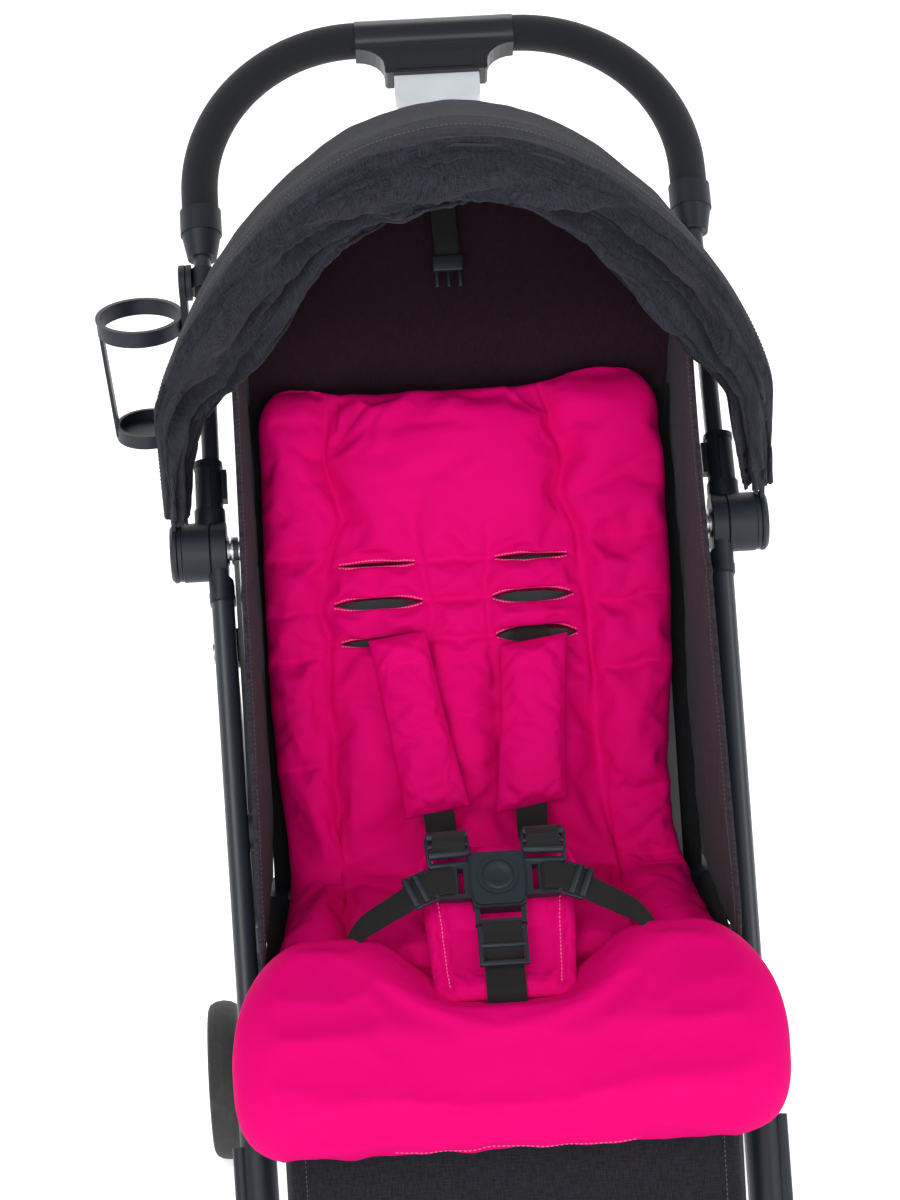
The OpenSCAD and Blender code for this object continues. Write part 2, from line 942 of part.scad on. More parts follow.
// open cup holder with a deep top band, a base dish and slanting channel posts
module cup_holder() {
    boss_x = handle_x + tube_w / 2 + 7 + side_gap;
    color("black") place()
        translate([0, cup_y, cup_z])
            rotate([cup_tilt, 0, 0]) {
                difference() {
                    union() {
                        drum_x(-boss_x, -boss_x - cup_boss_w, 0, 0, cup_boss_r, edge_cut);
                        side_slab(-boss_x, -boss_x - cup_boss_w)
                            translate([-11, -cup_drop - cup_band])
                                square([22, cup_drop + cup_band]);
                    }
                    bar_x(1 - boss_x, 1 - boss_x - cup_boss_w, 0, 0, cup_pin_r + run_gap);
                    translate([-cup_x, 0, -cup_drop - cup_band - 1])
                        cylinder(h = cup_band + 40, r = cup_r - cup_wall);
                }
                translate([-cup_x, 0, -cup_drop]) {
                    translate([0, 0, -cup_band])
                        ring_band(cup_r, cup_wall, cup_band);
                    translate([0, 0, -2])
                        ring_band(cup_r + 1, cup_wall, 2);
                    translate([0, 0, -cup_height])
                        ring_band(cup_low_r, cup_wall, cup_low_band);
                    translate([0, 0, -cup_height])
                        cylinder(h = cup_wall, r = cup_low_r - 1);
                    for (a = [0, 180]) rotate([0, 0, a]) cup_post();
                }
            }
}

// round band of radius r, wall w and height h
module ring_band(r, w, h) {
    rotate_extrude()
        translate([r - w, 0])
            square([w, h]);
}

// slanting channel post between the base and the top band
module cup_post() {
    translate([cup_low_r - cup_wall, 0, 3 - cup_height])
        rotate([0, atan((cup_r - cup_low_r) / cup_height), 0])
            difference() {
                translate([0, -cup_post_w / 2, 0])
                    cube([cup_wall, cup_post_w, cup_height - 6]);
                translate([cup_wall - 1.3, -cup_post_w / 2 + 3, cup_low_band - 1])
                    cube([2, cup_post_w - 6, cup_height - cup_band - cup_low_band]);
            }
}

// ---------- hood ----------

// outer hinge cap, bevelled and dished, with the post that carries the front hood bow
module hood_cap(side) {
    bevel = 2.6;
    difference() {
        union() {
            translate([side * cap_in, hinge_y, hinge_height])
                rotate([0, 90, 0])
                    rotate_extrude()
                        polygon([
                            [0, 0], [barrel_r - edge_cut, 0], [barrel_r, side * edge_cut],
                            [barrel_r, side * (cap_w - bevel)], [barrel_r - bevel, side * cap_w],
                            [17, side * cap_w], [16, side * (cap_w - 0.8)], [9, side * (cap_w - 0.8)],
                            [8, side * cap_w], [0, side * cap_w]
                        ]);
            hood_post(side, cap_in + 0.2, bow_half, hood_front_angle - 2.5);
            translate([0, hinge_y, hinge_height])
                rotate([hood_front_angle - 2.5, 0, 0])
                    translate([side * (cap_in + 3.1), post_ring_r, 0])
                        rotate([-90, 0, 0])
                            cylinder(h = post_ring_h, r = 2.8);
        }
        bar_x(side * (cap_in - 1), side * (barrel_out - 1.8), hinge_y, hinge_height, pin_r + run_gap);
    }
}

// flat post from a hinge cap up to the foot of a bow
module hood_post(side, x0, x1, angle) {
    side_slab(side * x0, side * x1)
        translate([hinge_y, hinge_height])
            rotate(angle)
                translate([barrel_r - 6, -post_w / 2])
                    square([hood_low_r - barrel_r + 5.7, post_w]);
}

module hood_caps() {
    color("black") place() {
        hood_cap(1);
        hood_cap(-1);
    }
}

// inner caps with the posts that carry the middle hood bow
module hood_mid_caps() {
    color("black") place() for (side = [-1, 1]) {
        difference() {
            union() {
                bar_x(side * mid_cap_in, side * (mid_cap_in + mid_cap_w),
                    hinge_y, hinge_height, barrel_r - 1);
                hood_post(side, mid_cap_in, mid_half, (mid_front_angle + mid_rear_angle) / 2);
            }
            bar_x(side * (mid_cap_in - 1), side * (cap_in + 1), hinge_y, hinge_height, pin_r + run_gap);
        }
    }
}

// flat plastic bow inside the front edge of the hood
module hood_bow() {
    color("black") place()
        hood_shell(bow_half, bow_r, hood_low_r, hood_front_angle - 5, hood_front_angle);
}

// front section of the hood
module hood_front() {
    color("gray") place()
        hood_shell(hood_out, hood_radius, hood_low_r - 8, hood_rear_angle, hood_front_angle);
}

// rear section of the hood, which slides inside the front one
module hood_mid() {
    color("gray") place()
        hood_shell(mid_half, mid_r, hood_low_r, mid_rear_angle, mid_front_angle);
}

// fabric panel that closes the back of the hood down to the top of the backrest
module hood_back_panel() {
    half = mid_half - shell_t - side_gap;
    panel_low = 134;
    narrow = wall_in - 3;
    panel_start = 28;
    edge_r = mid_r - shell_t - side_gap;
    pts = [for (a = [panel_start:4:180 - panel_start]) [half * cos(a), arch_radius(a, edge_r)]];
    foot = arch_radius(panel_start, edge_r);
    color("dimgray") place()
        translate([0, hinge_y, hinge_height])
            rotate([mid_rear_angle + 0.5, 0, 0])
                linear_extrude(height = 2.5)
                    polygon(concat(pts, [
                        [-narrow, foot], [-narrow, panel_low],
                        [narrow, panel_low], [narrow, foot]
                    ]));
}

// ---------- rear legs ----------

// rear leg tube with its top knuckle and its wheel housing
module rear_leg(side) {
    housing_start = rear_len - 66;
    difference() {
        union() {
            bar_x(side * knuckle_in, side * knuckle_out, pivot_y, pivot_z, bracket_r - 1);
            rear_frame(side) {
                linear_extrude(height = housing_start)
                    oval(rear_tube_w, rear_tube_d);
                translate([0, 0, housing_start])
                    linear_extrude(height = 66)
                        oval(22, 32);
            }
            bar_x(side * (rear_x - 11), side * (rear_wheel_in - 1), rear_axle_y, rear_axle_z, 19);
        }
        bar_x(side * (knuckle_in - 1), side * (knuckle_out + 1), pivot_y, pivot_z, rear_pin_r + run_gap);
        bar_x(side * (rear_x - 12), side * (rear_x - 4), rear_axle_y, rear_axle_z, crossbar_r);
    }
    // axle stub with its retaining head
    bar_x(side * (rear_wheel_in - 8), side * (rear_wheel_out - 5), rear_axle_y, rear_axle_z, axle_r);
    bar_x(side * (rear_wheel_out - 5), side * (rear_wheel_out - 2), rear_axle_y, rear_axle_z, 8);
}

module rear_leg_left() {
    color("dimgray") place() rear_leg(1);
}

module rear_leg_right() {
    color("dimgray") place() rear_leg(-1);
}

// tube between the two rear wheel housings
module rear_crossbar() {
    color("dimgray") place()
        bar_x(-rear_x + 4, rear_x - 4, rear_axle_y, rear_axle_z, crossbar_r);
}

// foot brake lever that turns on the rear crossbar
module brake_pedal() {
    color("black") place()
        difference() {
            union() {
                bar_x(128, 168, rear_axle_y, rear_axle_z, 15);
                side_slab(128, 168)
                    translate([rear_axle_y, rear_axle_z])
                        rotate(28)
                            translate([8, -4])
                                square([50, 8]);
            }
            bar_x(127, 169, rear_axle_y, rear_axle_z, crossbar_r + run_gap);
        }
}

// ---------- wheels ----------

// wheel centre with five spokes, drawn about the x axis between x0 and x1
module wheel_centre(x0, x1, y, z, rim_r, bore_r, recess_r) {
    translate([x0, y, z])
        rotate([0, 90, 0])
            difference() {
                union() {
                    difference() {
                        cylinder(h = x1 - x0, r = rim_r);
                        translate([0, 0, -1]) cylinder(h = x1 - x0 + 2, r = rim_r - 5);
                    }
                    cylinder(h = x1 - x0, r = 14);
                    for (a = [0:72:288])
                        rotate([0, 0, a])
                            translate([0, -5, (x1 - x0) / 2 - 4])
                                cube([rim_r - 2, 10, 8]);
                }
                translate([0, 0, -1]) cylinder(h = x1 - x0 + 2, r = bore_r);
                if (recess_r > 0)
                    translate([0, 0, -1]) cylinder(h = 6.1, r = recess_r);
                if (recess_r < 0)
                    translate([0, 0, x1 - x0 - 5.1]) cylinder(h = 6.1, r = -recess_r);
            }
}

// tyre with rounded shoulders, drawn about the x axis between x0 and x1
module tyre(x0, x1, y, z, outer_r, rim_r) {
    w = x1 - x0;
    shoulder = w * 0.28;
    translate([x0, y, z])
        rotate([0, 90, 0])
            rotate_extrude()
                polygon(concat(
                    [[rim_r, 0], [outer_r - shoulder, 0]],
                    [for (a = [-60:30:60]) [outer_r - shoulder + shoulder * cos(a), w / 2 + w / 2 * sin(a)]],
                    [[outer_r - shoulder, w], [rim_r, w]]
                ));
}

rear_rim_r = rear_wheel_d / 2 - 15;
front_rim_r = front_wheel_d / 2 - 14;

module rear_wheel_left() {
    color("black") place()
        wheel_centre(rear_wheel_in, rear_wheel_out, rear_axle_y, rear_axle_z,
            rear_rim_r, axle_r + run_gap, -9);
}

module rear_tyre_left() {
    color("dimgray") place()
        tyre(rear_wheel_in, rear_wheel_out, rear_axle_y, rear_axle_z, rear_wheel_d / 2, rear_rim_r);
}

module rear_wheel_right() {
    color("black") place()
        wheel_centre(-rear_wheel_out, -rear_wheel_in, rear_axle_y, rear_axle_z,
            rear_rim_r, axle_r + run_gap, 9);
}

module rear_tyre_right() {
    color("dimgray") place()
        tyre(-rear_wheel_out, -rear_wheel_in, rear_axle_y, rear_axle_z, rear_wheel_d / 2, rear_rim_r);
}

// swivel fork of a front wheel with its stem and axle
module caster(side) {
    x = side * caster_x;
    translate([x, caster_y, caster_top - fork_plate - side_gap]) cylinder(h = fork_plate, r = caster_r + 3);
    translate([x, caster_y, caster_top - side_gap - 1]) cylinder(h = 36, r = stem_r);
    for (s = [-1, 1]) {
        side_slab(x + s * fork_gap, x + s * (fork_gap + fork_w)) {
            translate([front_axle_y, front_axle_z]) circle(r = 12);
            polygon([
                [caster_y - 10, caster_top - fork_plate - side_gap + 4],
                [caster_y + 14, caster_top - fork_plate - side_gap + 4],
                [front_axle_y + 11, front_axle_z + 5], [front_axle_y - 12, front_axle_z - 1]
            ]);
        }
    }
    bar_x(x - fork_gap - fork_w, x + fork_gap + fork_w, front_axle_y, front_axle_z, axle_r);
}

module caster_left() {
    color("black") place() caster(1);
}

module caster_right() {
    color("black") place() caster(-1);
}

module front_centre(side) {
    wheel_centre(side * caster_x - front_wheel_w / 2, side * caster_x + front_wheel_w / 2,
        front_axle_y, front_axle_z, front_rim_r, axle_r + run_gap, 0);
}

module front_tyre(side) {
    tyre(side * caster_x - front_wheel_w / 2, side * caster_x + front_wheel_w / 2,
        front_axle_y, front_axle_z, front_wheel_d / 2, front_rim_r);
}

module front_wheel_left() {
    color("black") place() front_centre(1);
}

module front_tyre_left() {
    color("dimgray") place() front_tyre(1);
}

module front_wheel_right() {
    color("black") place() front_centre(-1);
}

module front_tyre_right() {
    color("dimgray") place() front_tyre(-1);
}

// ---------- backrest and calf rest ----------

// reclining back: bent tube, fabric panel and pivot knuckles
module back_frame() {
    color("dimgray") place() back_frame_at()
        difference() {
            union() {
                translate([0, 0, -back_panel_h / 2])
                    translate([-liner_half + 3, 14, -back_panel_h / 2])
                        cube([liner_width - 6, back_length - 20, back_panel_h]);
                for (side = [-1, 1]) {
                    translate([side * back_frame_x - 8, 0, 0])
                        rotate([0, 90, 0])
                            cylinder(h = 16, r = 12);
                    translate([side * back_frame_x, 0, -back_panel_h - back_frame_r + 3])
                        rotate([-90, 0, 0])
                            cylinder(h = back_length - 40, r = back_frame_r);
                }
                translate([-back_frame_x, back_length - 40, -back_panel_h - back_frame_r + 3])
                    rotate([0, 90, 0])
                        cylinder(h = 2 * back_frame_x, r = back_frame_r);
            }
            translate([-back_frame_x - 20, 0, 0])
                rotate([0, 90, 0])
                    cylinder(h = 2 * back_frame_x + 40, r = back_axle_r + run_gap);
        }
}

// back part of the padded liner
module liner_back() {
    color("deeppink") place() back_frame_at()
        translate([-liner_half, 30, soft_gap])
            cube([liner_width, back_length - 30, liner_thickness]);
}

// hinged calf rest with its two knuckles on the front cross tube
module calf_rest() {
    color("gray") place() calf_frame()
        difference() {
            union() {
                translate([-calf_half, -calf_length, -calf_h / 2])
                    cube([2 * calf_half, calf_length - 16, calf_h]);
                for (side = [-1, 1])
                    translate([side * 110 - 25, 0, 0])
                        rotate([0, 90, 0])
                            cylinder(h = 50, r = 10);
                for (side = [-1, 1])
                    translate([side * 110 - 25, -18, -6])
                        cube([50, 18, 12]);
            }
            translate([-calf_half - 1, 0, 0])
                rotate([0, 90, 0])
                    cylinder(h = 2 * calf_half + 2, r = front_tube_r + run_gap);
        }
}

// front lobe of the liner, which rolls over the seat edge and the calf rest
module liner_lobe() {
    top_y = front_edge_y + 12;
    top_z = seat_top + liner_thickness + 11;
    depth = 90;
    drop = 96;
    lip = 24;
    outer = concat(
        [[front_edge_y + 46, seat_top + liner_thickness]],
        [for (a = [90:-10:0]) [top_y - depth * cos(a), top_z - drop + drop * sin(a)]],
        [for (a = [0:10:90]) [top_y - depth + lip - lip * cos(a), top_z - drop - 56 * sin(a)]]
    );
    inner = [
        [front_edge_y - 44, top_z - drop - 56], [front_edge_y - 15.2, seat_top - 18],
        [front_edge_y - 15.2, seat_top + soft_gap], [front_edge_y + 46, seat_top + soft_gap]
    ];
    color("deeppink") place()
        side_slab(-lobe_half, lobe_half)
            polygon(concat(outer, inner));
}

// shoulder straps with their quilted pads and adjusters on the front of the back
module shoulder_harness() {
    face = liner_thickness + 2 * soft_gap;
    color("black") place() back_frame_at() for (side = [-1, 1]) {
        translate([side * 52, 128, face + 9])
            rotate([0, 0, side * 8])
                cube([60, 138, 18], center = true);
        translate([side * 42, 46, face + 4])
            cube([strap_w, 30, strap_t], center = true);
    }
}

// ---------- which sub-parts are drawn ----------

front_leg_left();
front_leg_right();
leg_housing_left();
leg_housing_right();
hinge_pins();
lower_housing_left();
lower_housing_right();
front_crossbar();
rear_leg_brackets();
rear_leg_pins();
strap_rings();
seat_rails();
seat_arms();
seat_blocks();
seat_board();
liner_seat();
crotch_pad();
side_panel_left();
side_panel_right();
basket();
basket_straps();
lap_harness();
buckle();
buckle_button();
handle_hub_left();
handle_hub_right();
handle_tubes();
handle_bow();
handle_collars();
grip_left();
grip_right();
handle_housing();
fold_button();
cup_clamp();
cup_holder();
hood_caps();
hood_bow();
hood_front();
hood_mid_caps();
hood_mid();
hood_back_panel();
rear_leg_left();
rear_leg_right();
rear_crossbar();
brake_pedal();
rear_wheel_left();
rear_tyre_left();
rear_wheel_right();
rear_tyre_right();
caster_left();
caster_right();
front_wheel_left();
front_tyre_left();
front_wheel_right();
front_tyre_right();
back_frame();
liner_back();
shoulder_harness();
calf_rest();
liner_lobe();
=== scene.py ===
# A compact folding stroller, finished in the order in which it is put together.
# Every length is in metres, +Z is up and the front of the stroller faces -Y.
import json
import math

import bpy
import numpy as np
from mathutils import Matrix, Vector
from mathutils import noise as field


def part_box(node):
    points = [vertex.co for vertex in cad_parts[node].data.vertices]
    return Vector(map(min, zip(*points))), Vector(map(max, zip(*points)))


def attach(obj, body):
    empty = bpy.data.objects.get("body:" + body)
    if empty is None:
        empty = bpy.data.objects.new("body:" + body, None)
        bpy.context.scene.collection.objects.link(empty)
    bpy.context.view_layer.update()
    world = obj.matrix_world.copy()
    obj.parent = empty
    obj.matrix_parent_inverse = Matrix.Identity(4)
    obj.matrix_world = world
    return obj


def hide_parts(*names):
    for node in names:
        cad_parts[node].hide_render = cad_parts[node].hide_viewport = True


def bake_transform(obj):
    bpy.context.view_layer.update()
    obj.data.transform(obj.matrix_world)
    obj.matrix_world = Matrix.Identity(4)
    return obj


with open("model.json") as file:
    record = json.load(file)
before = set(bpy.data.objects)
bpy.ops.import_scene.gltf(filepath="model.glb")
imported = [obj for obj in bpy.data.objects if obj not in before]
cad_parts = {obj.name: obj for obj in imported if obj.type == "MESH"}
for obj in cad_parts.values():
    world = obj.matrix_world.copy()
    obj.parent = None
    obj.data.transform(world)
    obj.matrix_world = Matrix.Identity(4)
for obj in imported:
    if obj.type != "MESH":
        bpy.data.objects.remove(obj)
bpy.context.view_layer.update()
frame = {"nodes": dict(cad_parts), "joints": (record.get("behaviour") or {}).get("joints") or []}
mid_x = sum(corner.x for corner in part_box("front_crossbar")) / 2

# ---------------------------------------------------------------- chassis tubes
# Oval aluminium tubes of the front legs, rear legs, handle and seat frame, with the cross
# tubes between them. They are extruded, bent and covered with satin blue-black powder coat.


class Wire:
    """One output socket of a node, so that the sums of a finish read as plain sums."""

    def __init__(self, tree, socket):
        self.tree = tree
        self.socket = socket

    def sum_with(self, kind, left, right=None):
        node = self.tree.nodes.new("ShaderNodeMath")
        node.operation = kind
        for slot, value in zip(node.inputs, (left, right)):
            if isinstance(value, Wire):
                self.tree.links.new(value.socket, slot)
            elif value is not None:
                slot.default_value = value
        return Wire(self.tree, node.outputs[0])

    def __add__(self, other):
        return self.sum_with("ADD", self, other)

    def __radd__(self, other):
        return self.sum_with("ADD", other, self)

    def __sub__(self, other):
        return self.sum_with("SUBTRACT", self, other)

    def __rsub__(self, other):
        return self.sum_with("SUBTRACT", other, self)

    def __mul__(self, other):
        return self.sum_with("MULTIPLY", self, other)

    def __rmul__(self, other):
        return self.sum_with("MULTIPLY", other, self)

    def wave(self):
        return self.sum_with("SINE", self)

    def peak(self, other):
        return self.sum_with("MAXIMUM", self, other)


class Finish:
    """A material: one Principled shader and the nodes that vary it over the surface."""

    def __init__(self, name):
        self.material = bpy.data.materials.new(name)
        self.material.use_nodes = True
        self.tree = self.material.node_tree
        self.shader = self.tree.nodes["Principled BSDF"]

    def add(self, kind, settings=None, inputs=None, output=0):
        node = self.tree.nodes.new(kind)
        for key, value in (settings or {}).items():
            setattr(node, key, value)
        for key, value in (inputs or {}).items():
            if isinstance(value, Wire):
                self.tree.links.new(value.socket, node.inputs[key])
            else:
                node.inputs[key].default_value = value
        return Wire(self.tree, node.outputs[output])

    def place(self):
        return self.add("ShaderNodeTexCoord", output=3)

    def grain(self, scale, detail=3.0, rough=0.55, at=None):
        return self.add(
            "ShaderNodeTexNoise",
            inputs={"Vector": at or self.place(), "Scale": scale, "Detail": detail, "Roughness": rough},
        )

    def stretch(self, scale, at):
        return self.add("ShaderNodeVectorMath", {"operation": "MULTIPLY"}, {0: at, 1: scale})

    def between(self, mask, low, high):
        node = {"data_type": "RGBA"}
        keys = {0: mask, 6: low, 7: high}
        return self.add("ShaderNodeMix", node, keys, output=2)

    def bump(self, height, strength, distance):
        keys = {"Height": height, "Strength": strength, "Distance": distance}
        return self.add("ShaderNodeBump", None, keys)

    def set(self, **values):
        for key, value in values.items():
            slot = self.shader.inputs[key.replace("_", " ")]
            if isinstance(value, Wire):
                self.tree.links.new(value.socket, slot)
            else:
                slot.default_value = value


def wear(finish, node_names):
    """Puts a finish on CAD nodes in place of the plain one they come with."""
    for node_name in node_names:
        node = frame["nodes"][node_name]
        node.data.materials.clear()
        node.data.materials.append(finish.material)


def painted(name, colour, scuff_colour, roughness):
    coat = Finish(name)
    orange_peel = coat.grain(900, 1.0)
    scuffs = coat.grain(60, 6.0, 0.7)
    scuff_mask = (scuffs - 0.69).peak(0.0) * 3.5
    coat.set(
        Base_Color=coat.between(scuff_mask, (*colour, 1), (*scuff_colour, 1)),
        Roughness=roughness + scuffs * 0.14 - 0.07 + scuff_mask * 0.3,
        Normal=coat.bump(orange_peel, 0.18, 0.0004),
        Specular_IOR_Level=0.5,
    )
    return coat


powder_coat = painted("satin powder coat", (0.023, 0.0285, 0.040), (0.09, 0.1, 0.11), 0.36)
wear(
    powder_coat,
    [
        "front_leg_left", "front_leg_right", "front_crossbar", "seat_rails", "seat_arms",
        "handle_tubes", "handle_bow", "rear_leg_left", "rear_leg_right", "rear_crossbar", "back_frame",
    ],
)

# ---------------------------------------------------------------- hinges and mouldings
# Hinge barrels, leg housings, wheel forks, collars, cup holder and the other black pieces.
# They are injection moulded in glass-filled nylon with a fine spark-eroded grain.


def moulded(name, colour, roughness, grain_depth):
    nylon = Finish(name)
    grain = nylon.grain(1500, 2.0)
    flow = nylon.grain(14, 3.0)
    nylon.set(
        Base_Color=nylon.between(flow, (*[c * 0.85 for c in colour], 1), (*[c * 1.2 for c in colour], 1)),
        Roughness=roughness - 0.05 + flow * 0.1,
        Normal=nylon.bump(grain, 0.35, grain_depth),
        Specular_IOR_Level=0.38,
    )
    return nylon


black_nylon = moulded("grained black nylon", (0.0085, 0.0130, 0.0215), 0.46, 0.00025)
wear(
    black_nylon,
    [
        "leg_housing_left", "leg_housing_right", "lower_housing_left", "lower_housing_right",
        "rear_leg_brackets", "strap_rings", "seat_blocks", "buckle", "buckle_button",
        "handle_hub_left", "handle_hub_right", "handle_collars", "cup_clamp", "cup_holder",
        "hood_caps", "hood_bow", "hood_mid_caps", "brake_pedal", "caster_left", "caster_right",
        "rear_wheel_left", "rear_wheel_right", "front_wheel_left", "front_wheel_right",
    ],
)
glossy_nylon = moulded("satin black nylon", (0.012, 0.014, 0.019), 0.3, 0.00008)
wear(glossy_nylon, ["handle_housing"])
button_grey = moulded("light grey button nylon", (0.70, 0.74, 0.78), 0.42, 0.0001)
wear(button_grey, ["fold_button"])

# Pins, rivets and washers of the hinges, turned from steel and left bare.
bare_steel = Finish("turned steel")
turning = bare_steel.grain(700, 2.0, at=bare_steel.stretch((0.05, 1, 1), bare_steel.place()))
bare_steel.set(
    Base_Color=bare_steel.between(turning, (0.46, 0.46, 0.47, 1), (0.66, 0.66, 0.68, 1)),
    Metallic=1.0,
    Roughness=0.24 + turning * 0.16,
    Normal=bare_steel.bump(turning, 0.12, 0.0002),
)
wear(bare_steel, ["hinge_pins", "rear_leg_pins"])

# ---------------------------------------------------------------- grips and tyres
# The grips are closed-cell foam tubes pushed over the handle bow. The tyres are solid
# rubber with a dull skin that picks up dust.
grip_foam = Finish("closed cell grip foam")
cells = grip_foam.add(
    "ShaderNodeTexVoronoi", {"feature": "F1"}, {"Vector": grip_foam.place(), "Scale": 900.0}
)
handled = grip_foam.grain(30, 4.0)
grip_foam.set(
    Base_Color=grip_foam.between(handled, (0.0058, 0.0066, 0.0098, 1), (0.0120, 0.0136, 0.0185, 1)),
    Roughness=0.8 + handled * 0.15,
    Normal=grip_foam.bump(cells, 0.3, 0.0004),
    Specular_IOR_Level=0.3,
    Sheen_Weight=0.15,
    Sheen_Roughness=0.5,
)
wear(grip_foam, ["grip_left", "grip_right"])
tyre_rubber = Finish("tyre rubber")
dust = tyre_rubber.grain(40, 6.0, 0.65)
tyre_rubber.set(
    Base_Color=tyre_rubber.between(
        (dust - 0.45).peak(0.0) * 1.2, (0.022, 0.022, 0.024, 1), (0.12, 0.11, 0.1, 1),
    ),
    Roughness=0.62 + dust * 0.25, Normal=tyre_rubber.bump(tyre_rubber.grain(1100, 2.0), 0.3, 0.0003),
)
wear(tyre_rubber, ["rear_tyre_left", "rear_tyre_right", "front_tyre_left", "front_tyre_right"])

# ---------------------------------------------------------------- seat liner
# One piece of pink cotton sateen over soft wadding, quilted into a middle panel and two side
# bolsters, with three rows of harness slots. It lies on the backrest, rolls through the
# corner and runs forward over the seat. Built on a sewing grid and blown up as cloth.
joints = {joint["name"]: joint for joint in frame["joints"]}
recline_pivot = Vector(joints["back_recline"]["pos_m"])
back_slope = math.radians(65.5)
liner_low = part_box("liner_seat")[0]
liner_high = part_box("liner_seat")[1]
liner_mid_z = (liner_low.z + liner_high.z) / 2
corner_r = 0.030
back_foot = 0.0265
seat_run = 0.1353
corner_run = corner_r * back_slope
back_run = 0.3815


def on_liner(x, b, n):
    """Points at width x and run b, n proud of the middle; b goes from the seat's front to the back's top."""
    x, b, n = np.broadcast_arrays(*[np.asarray(v, float) for v in (x, b, n)])
    turn = np.clip((b - seat_run) / corner_r, 0, back_slope)
    flat = np.minimum(b, seat_run)
    straight = np.maximum(b - seat_run - corner_run, 0)
    y = liner_low.y + flat + corner_r * np.sin(turn) + straight * math.cos(back_slope) - n * np.sin(turn)
    z = liner_mid_z + corner_r * (1 - np.cos(turn)) + straight * math.sin(back_slope) + n * np.cos(turn)
    return np.stack([x + mid_x, y, z], -1)


def up_back(s):
    """Run b of a place at distance s up the backrest from its pivot."""
    return seat_run + corner_run + s - back_foot


def knots(places, values):
    """A line along the liner, through values at places up the backrest."""
    return lambda b: np.interp(b, [up_back(p) for p in places], values)


def put_in_scene(name, data):
    """A new object that shows a mesh, a lamp or a camera."""
    piece = bpy.data.objects.new(name, data)
    bpy.context.scene.collection.objects.link(piece)
    return piece


def pick(*pieces):
    """Selects these pieces and nothing else, and makes the first one active."""
    for other in bpy.context.selected_objects:
        other.select_set(False)
    for piece in pieces:
        piece.select_set(True)
    if pieces:
        bpy.context.view_layer.objects.active = pieces[0]


def lay_out(mesh, flat_spots):
    """Stores where each vertex lies on the flat cloth, in metres, for the weave to follow."""
    layer = mesh.uv_layers.new(name="cloth")
    corner_vertex = np.zeros(len(mesh.loops), np.int32)
    mesh.loops.foreach_get("vertex_index", corner_vertex)
    layer.data.foreach_set("uv", flat_spots[corner_vertex].ravel().astype(np.float32))


def grid_solid(name, front, back, cloth_uv, slits=()):
    """A closed padded mesh from a front and a back grid that share their rim.

    Slits are cuts through both grids, each given as its row, first column and last column.
    """
    rows, cols = front.shape[:2]
    rim = np.zeros((rows, cols), bool)
    rim[0] = rim[-1] = True
    rim[:, 0] = rim[:, -1] = True
    points = [front.reshape(-1, 3)]
    front_at = np.arange(rows * cols).reshape(rows, cols)
    back_at = front_at.copy()
    back_at[~rim] = rows * cols + np.arange((~rim).sum())
    points.append(back[~rim])
    flat_uv = [cloth_uv.reshape(-1, 2), cloth_uv[~rim]]
    count = rows * cols + int((~rim).sum())
    above = {}
    faces = []
    lips = []
    for row, first, last in slits:
        inner = range(first + 1, last)
        for sheet_at, source in ((front_at, front), (back_at, back)):
            for col in inner:
                above[(id(sheet_at), row, col)] = count
                points.append(source[row, col][None])
                flat_uv.append(cloth_uv[row, col][None])
                count += 1
        low_front = [front_at[row, c] for c in range(first, last + 1)]
        high_front = [above.get((id(front_at), row, c), front_at[row, c]) for c in range(first, last + 1)]
        low_back = [back_at[row, c] for c in range(first, last + 1)]
        high_back = [above.get((id(back_at), row, c), back_at[row, c]) for c in range(first, last + 1)]
        for i in range(last - first):
            faces.append([low_front[i + 1], low_front[i], low_back[i], low_back[i + 1]])
            faces.append([high_front[i], high_front[i + 1], high_back[i + 1], high_back[i]])
        lips.append((low_front, high_front, low_back, high_back))
    for r in range(rows - 1):
        for c in range(cols - 1):
            for sheet_at, forward in ((front_at, True), (back_at, False)):
                low = [above.get((id(sheet_at), r, k), sheet_at[r, k]) for k in (c, c + 1)]
                quad = [low[0], low[1], sheet_at[r + 1, c + 1], sheet_at[r + 1, c]]
                faces.append(quad if forward else quad[::-1])
    mesh = bpy.data.meshes.new(name)
    mesh.from_pydata(np.concatenate(points), [], faces)
    lay_out(mesh, np.concatenate(flat_uv))
    mesh.shade_smooth()
    return put_in_scene(name, mesh), front_at, back_at, lips


def points_of(piece):
    found = np.zeros(len(piece.data.vertices) * 3)
    piece.data.vertices.foreach_get("co", found)
    return found.reshape(-1, 3)


def put_points(piece, points):
    piece.data.vertices.foreach_set("co", np.asarray(points, np.float32).ravel())
    piece.data.update()


